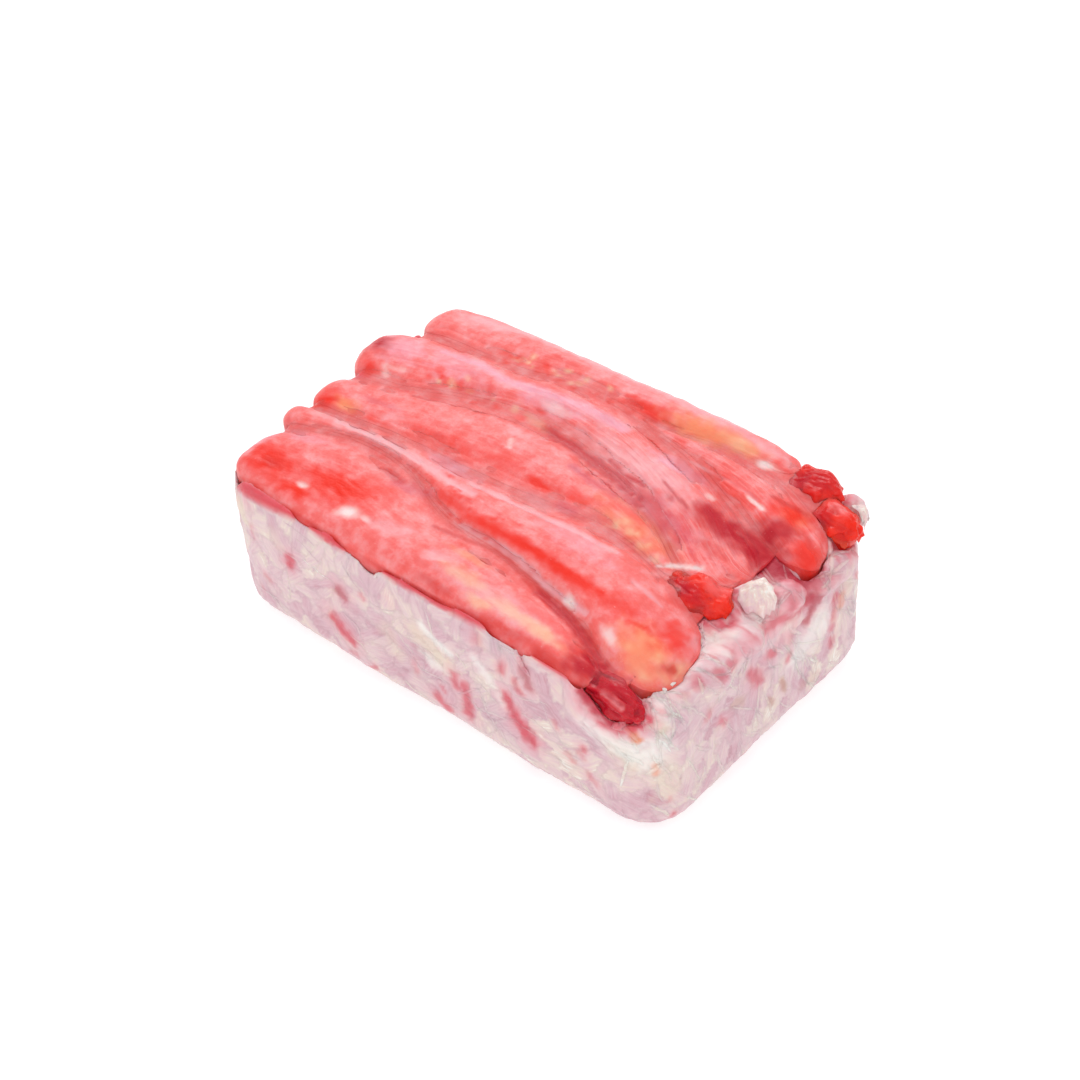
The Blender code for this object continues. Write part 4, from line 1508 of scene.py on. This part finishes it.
# %% [markdown]
# ## The bed put together
# The order matters here. The flakes and the flecks are worked out on the solid's own shape, the
# points then move to meet the legs, and only after that is the relief of the flakes pushed out,
# along the normals of the new shape. The underside keeps no relief, so the block lies flat. The
# rim keeps little, and takes the colour of the skin where it touches the legs, with a thin red
# line of painted shade just under the skin line.

# %% Make the bed
BED_SEED = 21
UNDER_SKIN = (46.0 * MM, 49.5 * MM)
BLUSH_STREAKS = (7 * MM, 1.6 * MM, 3 * MM)
RED_STREAKS = (9 * MM, 2.0 * MM, 4 * MM)
STAIN_FRAY = (3 * MM, 1.2 * MM, 2 * MM)
STAIN_STRENGTH = 0.9
FLAT_BELOW = (0.2 * MM, 3 * MM)
RIM_PAINTED_SHADE = (-1.4 * MM, -0.5 * MM)
RIM_SKIN = (-0.9 * MM, -0.1 * MM)
RIM_SMOOTH = (-4 * MM, -1 * MM)
FLAKE_MIDDLE = 0.4 * MM
SHRED_FIBRES = 0.12 * MM
SHRED_FIBRE_SIZE = (5 * MM, 0.9 * MM, 0.01)
SHRED_GRAIN = 0.2 * MM
SHRED_GRAIN_SIZE = 2.5 * MM
STAINS = (("red", RED_BITS, 4.5 * MM), ("blush", RED_BITS, 8 * MM), ("bare", WHITE_BITS, 3.5 * MM))


def bed_tints(points, rng):
    """The placed flecks, the strewn ones, and the juice under the legs, as tints by name."""
    tints = {name: np.zeros(len(points)) for name in FLESH_TINTS}
    for number, (tint, start, end, width, strength) in enumerate(BED_MARKS):
        core, halo = line_mark(points, start, end, width, strength, number)
        tints[tint] = np.maximum(tints[tint], core)
        if tint in HALO_TINTS:
            tints["blush"] = np.maximum(tints["blush"], halo)
    cores, halos = strewn_flecks(points, rng)
    under_skin = smooth_step(points[:, 2], *UNDER_SKIN)
    streaky = np.clip(0.55 + 0.9 * uneven(points, BLUSH_STREAKS, 8), 0, 1)
    streaks = smooth_step(uneven(points, RED_STREAKS, 9), 0.15, 0.6)
    tints["blush"] = np.max([tints["blush"], halos, 0.5 * under_skin * streaky], axis=0)
    tints["red"] = np.max([tints["red"], cores, 0.5 * under_skin * streaks], axis=0)
    return tints


def stain_round_bits(points, tints):
    """Adds red juice round the red bits and bare white meat round the white ones."""
    torn = 0.75 + 0.6 * uneven(points, STAIN_FRAY, 12)
    for tint, nodes, reach in STAINS:
        stain = np.clip(nearness(points, nodes, reach) * torn, 0, 1)
        tints[tint] = np.maximum(tints[tint], STAIN_STRENGTH * stain)


def make_bed():
    """The pressed shreds, in place of the bed's solid."""
    rng = np.random.default_rng(BED_SEED)
    piece = remeshed(BED, BED_VOXEL, "pressed_shreds", white_flesh, BED_SMOOTHING)
    mesh = piece.data
    points, normals = mesh_points(mesh), mesh_normals(mesh)
    covered, tone, grain = flake_field(points, normals, rng, lie_of_shreds)
    tints = bed_tints(points, rng)
    rough = smooth_step(points[:, 2], *FLAT_BELOW)
    rim = on_rim(points)
    points[:, 2] += rim_rise(points)
    above = above_skin_line(points)
    # Painted shade: a thin red line on the rim just under the skin line, where the legs meet the bed.
    tints["red"] = np.maximum(tints["red"], 0.75 * rim * smooth_step(above, *RIM_PAINTED_SHADE))
    tints["skin"] = rim * smooth_step(above, *RIM_SKIN)
    rough *= 1 - 0.95 * rim * smooth_step(above, *RIM_SMOOTH)
    points += flush(points)
    points[:, 2] += climb(points)
    stain_round_bits(points, tints)
    put_points(mesh, points)
    fibres = SHRED_FIBRES * uneven(grain, SHRED_FIBRE_SIZE, 3)
    relief = covered - FLAKE_MIDDLE + fibres + SHRED_GRAIN * uneven(points, SHRED_GRAIN_SIZE, 5)
    push_out(mesh, relief * rough)
    store(mesh, "fibre", grain)
    store(mesh, "tone", tone)
    for name, amount in tints.items():
        store(mesh, name, amount)
    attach(piece, "root")
    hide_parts(BED)
    print(piece.name, "has", len(mesh.polygons), "faces")
    return piece


bed = make_bed()

# %% [markdown]
# ## The torn bits
# At the near end a few bits of red and white meat lie where legs were torn off. Each is
# remeshed from its solid at a third of a millimetre, because it is small, and then gets big
# lumps, sharp folds and a fine fray, all stretched along its muscle: lengthwise on the red bits
# and upright on the white ones. One red bit is a flat strip under the tip of the second leg.
# Their sides rise to meet what they lie against, as the legs' flanks do.

# %% Relief of torn muscle
LUMP_SIZE = 6 * MM
FOLD_SIZE = 3.4 * MM
FOLD_DEPTH = 1.1 * MM
FRAY_SIZE = 1.4 * MM
FRAY_DEPTH = 0.3 * MM


def torn_relief(points, grain, seed, lumps):
    """Lumps and folds of torn muscle; the grain says how stretched they are along each axis."""
    grain = np.array(grain)
    relief = lumps * uneven(points, LUMP_SIZE, seed + 60)
    relief += FOLD_DEPTH * (0.4 - np.abs(uneven(points, FOLD_SIZE * grain, seed + 70)))
    return relief + FRAY_DEPTH * uneven(points, FRAY_SIZE * grain, seed + 80)


def raise_flanks(mesh):
    """A bit's sides rise to meet what lies beside it, as a leg's flanks do."""
    points = mesh_points(mesh)
    points[:, 2] += lifted(points, {"crimson": np.zeros(len(points))})
    put_points(mesh, points)


print("folds of", FOLD_DEPTH / MM, "mm")

# %% [markdown]
# The red bits have marks of their own, placed on the same map as those of the legs. Where no
# pale mark lies they are orange, and their folds are painted darker red as shade. The white bits
# stand upright, with some juice round their feet.

# %% Torn red and white bits
RED_LUMPS = 1.7 * MM
WHITE_LUMPS = 1.2 * MM
RED_GRAIN = (2.2, 0.8, 0.8)
WHITE_GRAIN = (1.0, 1.0, 3.0)
WHITE_BIT_INSETS = (0.4 * MM, 1.3 * MM)
FLAT_BIT = "red_shred_4"
FLAT_BIT_INSET = 0.3 * MM
FLAT_BIT_LUMPS = 0.8 * MM
FLAT_BIT_FOLDS = 1.4 * MM
BIT_STRINGY = 0.6
RED_SHADE_IN_FOLDS = (0.8 * MM, -0.6 * MM)
CRIMSON_SHADE_IN_FOLDS = (-0.6 * MM, -1.6 * MM)
FLAT_BIT_FOLD_SIZE = (11 * MM, 2.0 * MM, 2.0 * MM)
WHITE_BIT_STREAKS = (2 * MM, 2 * MM, 9 * MM)
BLUSH_FROM, BLUSH_TO = 2 * MM, 9 * MM
RED_BIT_TINTS = {
    "red_shred_1": [
        (patch, "red", (63, -9), (8, 5), 0, 0.9),
        (patch, "crimson", (64, -12), (9, 3), -12, 0.9),
        (patch, "pale", (71, -5), (5, 4), 0, 0.35),
    ],
    "red_shred_2": [
        (patch, "red", (62, 50), (9, 7), 0, 0.9),
        (patch, "crimson", (62, 48), (5, 6), 0, 0.9),
        (patch, "pale", (65, 47.5), (1.8, 1.6), 0, 0.6),
        (patch, "crimson", (68, 51), (10, 8), 0, 0.55),
    ],
    "red_shred_3": [
        (patch, "red", (80, 41), (9, 7), 0, 0.85),
        (patch, "orange", (85, 41), (3, 3), 0, 0.8),
        (patch, "pale", (79, 46), (4, 3), 0, 0.5),
        (patch, "crimson", (76, 40), (4, 4), 0, 0.6),
    ],
    "red_shred_4": [
        (patch, "crimson", (70, -55), (14, 5), 0, 0.9),
        (patch, "red", (76, -57), (6, 3), 0, 0.6),
        (stroke, "pale", [(69, -57.5), (77, -58.6)], 1.4, 0.8),
        (stroke, "red", [(62, -53.5), (80, -55)], 1.6, 0.8),
        (patch, "orange", (80, -54), (3, 2), 0, 0.7),
    ],
}


def make_red_bit(node, number):
    """A wet red bit: orange on its lumps and painted dark red shade in its folds, or dark all over if
    flat.
    """
    piece = remeshed(node, BIT_VOXEL, f"red_bit_{number}", wet_red_flesh, BIT_SMOOTHING)
    mesh = piece.data
    points = mesh_points(mesh)
    tints = paint(points, RED_BIT_TINTS[node], SKIN_TINTS)
    bare = np.max([tints[name] for name in RIDGE_TINTS], axis=0)
    flat = node == FLAT_BIT
    ground = "crimson" if flat else "orange"
    tints[ground] = np.maximum(tints[ground], 1 - bare)
    relief = torn_relief(points, RED_GRAIN, number, FLAT_BIT_LUMPS if flat else RED_LUMPS)
    if flat:
        relief += FLAT_BIT_FOLDS * uneven(points, FLAT_BIT_FOLD_SIZE, 90) - FLAT_BIT_INSET
    # Painted shade: red marks stay only in the folds, and crimson darkens the deepest of them.
    tints["red"] *= smooth_step(relief, *RED_SHADE_IN_FOLDS)
    tints["crimson"] = np.maximum(tints["crimson"], 0.8 * smooth_step(relief, *CRIMSON_SHADE_IN_FOLDS))
    push_out(mesh, relief)
    raise_flanks(mesh)
    dress_skin(piece, points, np.full(len(points), BIT_STRINGY), tints)
    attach(piece, "root")
    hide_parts(node)
    print(piece.name, "has", len(mesh.polygons), "faces")
    return piece


def make_white_bit(node, number):
    """A white bit that stands up from the bed, with a blush of juice round its foot."""
    piece = remeshed(node, BIT_VOXEL, f"white_bit_{number}", white_flesh, BIT_SMOOTHING)
    mesh = piece.data
    points = mesh_points(mesh)
    relief = torn_relief(points, WHITE_GRAIN, number + 4, WHITE_LUMPS)
    push_out(mesh, relief - WHITE_BIT_INSETS[number - 1])
    raise_flanks(mesh)
    store(mesh, "fibre", points[:, (2, 1, 0)])
    store(mesh, "tone", np.clip(0.8 + 0.3 * uneven(points, WHITE_BIT_STREAKS, 9), 0, 1))
    top = points[:, 2].max()
    low = smooth_step(points[:, 2], top - BLUSH_FROM, top - BLUSH_TO)
    for name in FLESH_TINTS:
        store(mesh, name, 0.5 * low if name == "blush" else np.zeros(len(points)))
    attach(piece, "root")
    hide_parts(node)
    print(piece.name, "has", len(mesh.polygons), "faces")
    return piece


red_bits = [make_red_bit(node, number) for number, node in enumerate(RED_BITS, start=1)]
white_bits = [make_white_bit(node, number) for number, node in enumerate(WHITE_BITS, start=1)]

# %% [markdown]
# ## Loose strands
# Torn crab muscle ends in threads. A few hundred of them lie on the bed's four sides and on its
# ledge at the torn end. A thread is an easy thing to grow: it starts at a point, takes a step
# the way it is heading, is put back on the surface, and steps again. Python walks these paths.
# Geometry Nodes then sweep a small ring along each, thick in the middle and thin at the tips.

# %% The tree that sweeps strands
SWEEP_SIDES = 6


def strand_sweep_tree(material):
    """Edges with a radius at each point become closed tubes; the sides are a named input."""
    tree = bpy.data.node_groups.new("strand_sweep", "GeometryNodeTree")
    tree.interface.new_socket("Geometry", in_out="INPUT", socket_type="NodeSocketGeometry")
    sides = tree.interface.new_socket("Sides", in_out="INPUT", socket_type="NodeSocketInt")
    sides.default_value = SWEEP_SIDES
    thickness = tree.interface.new_socket("Thickness", in_out="INPUT", socket_type="NodeSocketFloat")
    thickness.default_value = 1.0
    tree.interface.new_socket("Geometry", in_out="OUTPUT", socket_type="NodeSocketGeometry")
    given = add_node(tree, "NodeGroupInput")
    paths = add_node(tree, "GeometryNodeMeshToCurve", {"Mesh": given.outputs["Geometry"]})
    radius = add_node(
        tree, "GeometryNodeInputNamedAttribute", {"Name": "radius_here"}, data_type="FLOAT")
    ring = add_node(
        tree, "GeometryNodeCurvePrimitiveCircle",
        {"Resolution": given.outputs["Sides"], "Radius": given.outputs["Thickness"]})
    tube = add_node(
        tree, "GeometryNodeCurveToMesh",
        {"Curve": paths.outputs["Curve"], "Profile Curve": ring.outputs["Curve"],
         "Scale": radius.outputs["Attribute"], "Fill Caps": True})
    smooth = add_node(tree, "GeometryNodeSetShadeSmooth", {"Geometry": tube.outputs["Mesh"]})
    real = add_node(tree, "GeometryNodeRealizeInstances", {"Geometry": smooth.outputs["Geometry"]})
    painted = add_node(
        tree, "GeometryNodeSetMaterial", {"Geometry": real.outputs["Geometry"], "Material": material})
    add_node(tree, "NodeGroupOutput", {"Geometry": painted.outputs["Geometry"]})
    return tree


def input_of(tree, name):
    """The identifier by which a modifier knows one of the tree's inputs."""
    for item in tree.interface.items_tree:
        if item.item_type == "SOCKET" and item.in_out == "INPUT" and item.name == name:
            return item.identifier
    raise KeyError(name)


def grown(name, source, tree, **inputs):
    """Runs a tree on a mesh and keeps the result as a plain mesh object."""
    piece = bpy.data.objects.new(name, source)
    bpy.context.scene.collection.objects.link(piece)
    modifier = piece.modifiers.new(tree.name, "NODES")
    modifier.node_group = tree
    for label, value in inputs.items():
        modifier[input_of(tree, label)] = value
    graph = bpy.context.evaluated_depsgraph_get()
    result = bpy.data.meshes.new_from_object(piece.evaluated_get(graph))
    piece.modifiers.clear()
    piece.data = result
    result.name = name
    bpy.data.meshes.remove(source)
    return piece


print("sweep tree ready")

# %% [markdown]
# ## A strand's path
# A heading is kept but for a little wandering at each step. A strand is sunk most of the way
# into the bed, as the real ones are pressed in, and it is thin at both ends.

# %% Walk the strands
STRAND_STEP = 0.9 * MM
STRAND_SUNK = 0.87
WANDER = 0.12
HEADING_KEPT = 0.6
TIP_SHARE = 0.18


def walk(tree, start, heading, length, rng):
    """Points that creep over a surface from a start, and the surface's normal at each."""
    here, normal = tree.find_nearest(Vector(start))[:2]
    heading = Vector(heading)
    path, normals = [here], [normal]
    for _ in range(max(3, int(length / STRAND_STEP))):
        heading = heading + Vector(rng.normal(0, WANDER, 3))
        heading = (heading - normal * heading.dot(normal)).normalized()
        after, normal = tree.find_nearest(here + heading * STRAND_STEP)[:2]
        heading = heading * HEADING_KEPT + (after - here).normalized() * (1 - HEADING_KEPT)
        here = after
        path.append(here)
        normals.append(normal)
    return path, normals


def strand_mesh(name, paths, radii, tones):
    """Edges along all the paths, with the radius and the tone that each point carries."""
    points, edges, radius, tone = [], [], [], []
    for (path, normals), widest, shade in zip(paths, radii, tones, strict=True):
        first = len(points)
        for number, (place, normal) in enumerate(zip(path, normals)):
            share = number / (len(path) - 1)
            here = widest * (TIP_SHARE + (1 - TIP_SHARE) * math.sin(math.pi * share) ** 0.6)
            points.append(place + normal * here * (1 - 2 * STRAND_SUNK))
            radius.append(here)
            tone.append(shade)
        edges += [(at, at + 1) for at in range(first, len(points) - 1)]
    mesh = bpy.data.meshes.new(name)
    mesh.from_pydata(points, edges, [])
    store(mesh, "radius_here", radius)
    store(mesh, "tone", np.clip(tone, 0, 1))
    return mesh


print("steps of", STRAND_STEP / MM, "mm")

# %% [markdown]
# ## Where the strands lie
# Each group of strands has a region it starts in, a heading and a spread of sizes, all in mm:
# thick pale ones at the near corner and over the torn end, and thinner ones that lie flat on
# the pressed sides. They take the stains of the flakes that they lie on.

# %% Make the strands
STRAND_SEED = 31
TONE_SPREAD = 0.10
BORROWED_SHARE = 0.8
STRAND_GROUPS = {
    "long_end": dict(count=80, low=(86, -58, 6), high=(94, 58, 50), heading=(0.1, 0.5, -1.0),
                     length=(7, 20), radius=(0.5, 1.3), tone=0.62),
    "ledge": dict(count=46, low=(70, -50, 46), high=(90, 50, 60), heading=(1.0, -0.15, -0.4),
                  length=(6, 16), radius=(0.5, 1.3), tone=0.68),
    "corner": dict(count=30, low=(76, -64, 28), high=(92, -46, 54), heading=(0.3, 0.2, -1.0),
                   length=(6, 14), radius=(0.6, 1.5), tone=0.9),
    "front": dict(count=64, low=(-88, -64, 3), high=(80, -56, 46), heading=(1.0, 0.0, -0.3),
                  length=(6, 18), radius=(0.4, 1.1), tone=0.6),
    "back": dict(count=64, low=(-88, 56, 3), high=(88, 64, 46), heading=(1.0, 0.0, 0.25),
                 length=(6, 18), radius=(0.4, 1.1), tone=0.6),
    "far_end": dict(count=60, low=(-94, -58, 3), high=(-82, 58, 46), heading=(0.0, 1.0, -0.4),
                    length=(6, 16), radius=(0.4, 1.1), tone=0.6),
}


def piece_tree(piece):
    """A finished piece as a surface to walk on."""
    faces = [tuple(face.vertices) for face in piece.data.polygons]
    return BVHTree.FromPolygons(mesh_points(piece.data).tolist(), faces)


def attribute_of(piece, name):
    """A number that a finished piece carries at each of its points."""
    values = np.zeros(len(piece.data.vertices), np.float32)
    piece.data.attributes[name].data.foreach_get("value", values)
    return values


def borrow(piece, lender, names, share):
    """Gives each point of a piece a share of the lender's tints at the nearest point."""
    tree = KDTree(len(lender.data.vertices))
    for number, vertex in enumerate(lender.data.vertices):
        tree.insert(vertex.co, number)
    tree.balance()
    nearest = [tree.find(vertex.co)[1] for vertex in piece.data.vertices]
    for name in names:
        store(piece.data, name, share * attribute_of(lender, name)[nearest])


def region_points(points, low, high):
    """The rows of points that lie between two corners in mm."""
    inside = (points > np.array(low) * MM) & (points < np.array(high) * MM)
    return points[inside.all(axis=1)]


def make_white_strands():
    """Shreds on every side of the bed, with the stains of the flakes that they lie on."""
    rng = np.random.default_rng(STRAND_SEED)
    ground = piece_tree(bed)
    bed_points = mesh_points(bed.data)
    paths, radii, tones = [], [], []
    for group in STRAND_GROUPS.values():
        starts = region_points(bed_points, group["low"], group["high"])
        for _ in range(group["count"]):
            heading = np.array(group["heading"]) * rng.choice((-1, 1)) + rng.normal(0, 0.35, 3)
            length = rng.uniform(*group["length"]) * MM
            paths.append(walk(ground, rng.choice(starts), heading, length, rng))
            radii.append(rng.uniform(*group["radius"]) * MM)
            tones.append(group["tone"] + rng.normal(0, TONE_SPREAD))
    source = strand_mesh("white_strands", paths, radii, tones)
    piece = grown("white_strands", source, strand_sweep_tree(white_flesh), Sides=SWEEP_SIDES)
    store(piece.data, "fibre", mesh_points(piece.data))
    borrow(piece, bed, FLESH_TINTS, BORROWED_SHARE)
    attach(piece, "root")
    print(piece.name, "has", len(paths), "strands and", len(piece.data.polygons), "faces")
    return piece


white_strands = make_white_strands()

# %% [markdown]
# ## Light
# The photograph is bright and almost shadowless, as on a light table: white all round and a
# broad soft light from above. A white sky does most of it. A large soft box overhead gives the
# slight difference between the top and the sides, and a smaller one behind the block is there
# for the gloss: its reflection runs along the wet ridges towards the camera.

# %% Sky and soft boxes
bpy.context.scene.view_settings.view_transform = "Standard"

world = bpy.data.worlds.new("white_room")
bpy.context.scene.world = world
world.use_nodes = True
sky = world.node_tree.nodes["Background"]
sky.inputs["Color"].default_value = (1.0, 1.0, 1.0, 1.0)
sky.inputs["Strength"].default_value = 0.80

SOFT_BOXES = {
    "overhead_box": dict(place=(0.20, -0.35, 0.80), side=0.7, watts=1.7),
    "back_box": dict(place=(-0.45, 0.62, 0.62), side=0.35, watts=2.2),
}
for name, box in SOFT_BOXES.items():
    lamp_data = bpy.data.lights.new(name, "AREA")
    lamp_data.size = box["side"]
    lamp_data.energy = box["watts"]
    lamp = bpy.data.objects.new(name, lamp_data)
    lamp.location = box["place"]
    lamp.rotation_euler = (-lamp.location).to_track_quat("-Z", "Y").to_euler()
    bpy.context.scene.collection.objects.link(lamp)
print("lit by", ", ".join(SOFT_BOXES))

# %% [markdown]
# ## Floor
# The floor is a matt card that glows a little, so that it comes out pure white as in the
# photograph and keeps only a faint shadow round the block.

# %% Floor
FLOOR_HALF = 3.0
CARD_GLOW = 0.62


def floor_material():
    """Matt white card that gives off some light of its own."""
    material = bpy.data.materials.new("white_card")
    material.use_nodes = True
    shader = material.node_tree.nodes["Principled BSDF"]
    shader.inputs["Base Color"].default_value = hex_colour("BCBCBC")
    shader.inputs["Roughness"].default_value = 0.9
    shader.inputs["Emission Color"].default_value = hex_colour("FFFFFF")
    shader.inputs["Emission Strength"].default_value = CARD_GLOW
    return material


floor_points = np.array([
    (-FLOOR_HALF, -FLOOR_HALF, 0), (FLOOR_HALF, -FLOOR_HALF, 0),
    (FLOOR_HALF, FLOOR_HALF, 0), (-FLOOR_HALF, FLOOR_HALF, 0),
])
floor = new_piece("floor", floor_points, [(0, 1, 2, 3)], floor_material())
print("floor of", 2 * FLOOR_HALF, "m")

# %% [markdown]
# ## Finish
# The pieces are counted, with their faces.

# %% Count the pieces and finish
pieces = [*legs, loose_skin, bed, *red_bits, *white_bits, white_strands]
print(len(pieces), "pieces with", sum(len(piece.data.polygons) for piece in pieces), "faces")
